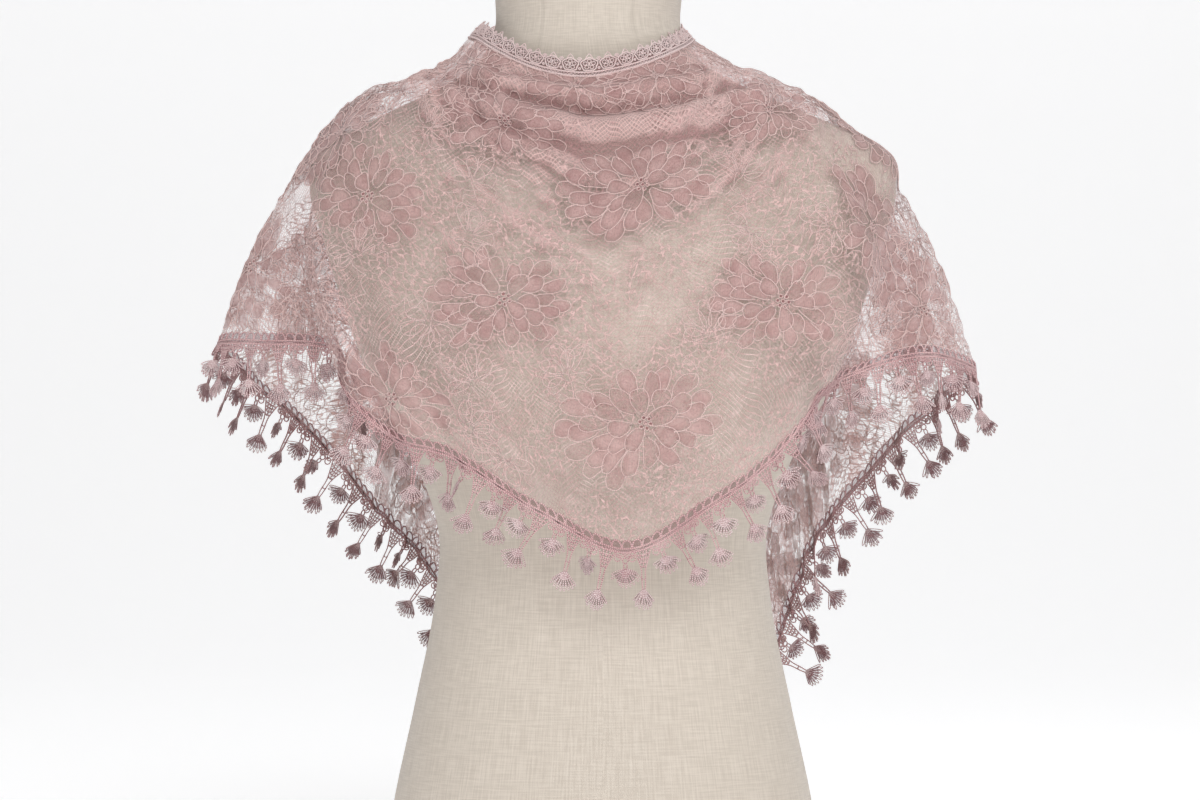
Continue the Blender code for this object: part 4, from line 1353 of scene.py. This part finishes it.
# The trim along the long edge: rosettes under pointed picots, over a double cord
trim = {
    "pitch": 0.0132,
    "standing": 0.86,
    "lean": 0.9,
    "middle": 0.0080,
    "rosette": (0.0058, 0.0044),
    "netRise": (0.0, 0.0038, 0.0077, 0.0115),
    "light": (0.99, 0.84, 0.82, 1.0),
    "shade": (0.76, 0.53, 0.52, 1.0),
    # the net's colour, darkened partly as painted shade behind the rosettes
    "net": (0.34, 0.155, 0.16, 1.0),
}


def trimTables(values):
    # The long edge's points, and the directions in which the trim rises and faces there. It stands
    # up and leans inwards round the neck, and lies in the cloth's own slope down the back.
    napeLeft, napeRight = place("nape_left"), place("nape_right")
    roundNeck = smoothStep(napeLeft - 0.05, napeLeft + 0.05, gridS) * (
        1 - smoothStep(napeRight - 0.05, napeRight + 0.05, gridS))
    share = (1 - roundNeck * values["standing"])[:, None]
    up = unit(-downUnit[:, 2] * share + np.array([0.0, 0.0, 1.0]) * (1 - share))
    base = cloth[:, 0]
    inward = unit(np.array([formRings[-1, 1], 0.0, 0.0]) - base * np.array([1.0, 1.0, 0.0]))
    up = unit(up + inward * (values["lean"] * roundNeck * np.abs(inward[:, 0]))[:, None])
    return base, up, unit(np.cross(-up, unit(np.gradient(base, axis=0))))


def onTrim(tables, run, rise, height):
    # Points of the trim at this distance along the long edge, this rise above it and this height
    # off its face, and the directions in which it faces there.
    f = np.interp(run, edgeRun, np.arange(len(gridS)))
    i = np.minimum(f.astype(int), len(gridS) - 2)
    g = (f - i)[..., None]
    spot, rises, outs = (table[i] * (1 - g) + table[i + 1] * g for table in tables)
    return clearOfForm(spot + rises * rise[..., None] + outs * height, 0.0012), outs


def addTrim(values):
    # Two rippled cords with a zigzag between them, a scalloped rosette with five rings round an
    # eye in each repeat, dots between the rosettes, and picots, over a strip of net whose dark
    # colour is partly painted shade.
    tables = trimTables(values)
    length = edgeRun[-1]
    number = int(length / values["pitch"])
    pitch = length / number
    middle = values["middle"]
    wide, high = values["rosette"]
    run = np.linspace(0.001, length - 0.001, int(length / 0.0011))[None, :]
    ripple = 0.00015 * np.sin(run * 2 * np.pi / 0.0029)
    start = (np.arange(number) + 0.5)[:, None] * pitch
    wave = np.linspace(0, 2 * np.pi, 18)
    scallop = 1 + 0.09 * np.cos(5 * (wave - np.pi / 2))
    turn = np.linspace(0, 2 * np.pi, 9)
    cos, sin = np.cos(turn), np.sin(turn)
    swing = np.cos(np.linspace(0, np.pi, 9))
    dots = (start + 0.5 * pitch + 0.0007 * cos)[:-1]
    lines = [
        # distance along, rise, radius, height, sides
        (run, 0.0002 + ripple, 0.00075, 0.0003, 5),
        (run, 0.0028 + ripple, 0.00065, 0.0003, 5),
        (run, 0.0015 + 0.0008 * np.sin(run * 2 * np.pi / 0.0024), 0.00032, 0.0002, 4),
        (start + wide * scallop * np.cos(wave), middle + high * scallop * np.sin(wave),
         0.00064, 0.0006, 4),
    ]
    for k in range(5):
        a = k * np.pi * 0.4 + np.pi / 2
        lines.append((start + 0.0030 * math.cos(a) + 0.0014 * cos,
                      middle + 0.0023 * math.sin(a) + 0.0012 * sin, 0.00042, 0.0007, 4))
    lines += [
        (start + 0.0005 * cos, middle + 0.0005 * sin, 0.00062, 0.0011, 4),
        (dots, 0.0052 + 0.0007 * sin, 0.00055, 0.0006, 4),
        (dots, 0.0112 + 0.0007 * sin, 0.00055, 0.0006, 4),
        (start - 0.0026 * swing, middle + high + 0.0038 * (1 - np.abs(swing)) ** 0.6 - 0.0008,
         0.00042, 0.0005, 4),
        (start + 0.5 * pitch - 0.0016 * swing[::-1],
         middle + high * 0.75 + 0.0016 * (1 - swing ** 2) ** 0.5, 0.00038, 0.0005, 4),
    ]
    parts = [tubes(*onTrim(tables, x, y + 0 * x, height), radius, sides)
             for x, y, radius, height, sides in lines]
    run = np.linspace(0.001, length - 0.001, 700)
    grid = np.stack(np.broadcast_arrays(run[:, None], values["netRise"]), axis=2)
    points, _ = onTrim(tables, grid[..., 0], grid[..., 1], 0.0)
    net = (points.reshape(-1, 3), gridFaces(*grid.shape[:2]), grid.reshape(-1, 2))
    backing = addPiece("trim_net", [net],
                       netMaterial("trimNet", 0.0015, 0.26, values["net"]), "picot_trim")
    thread = cordMaterial("trimThread", values["light"], values["shade"], 0.0011)
    piece = addPiece("edge_trim", parts, thread, "picot_trim", "trim_neck", "trim_back_left",
                     "trim_back_right")
    return piece, backing


trimPieces = addTrim(trim)
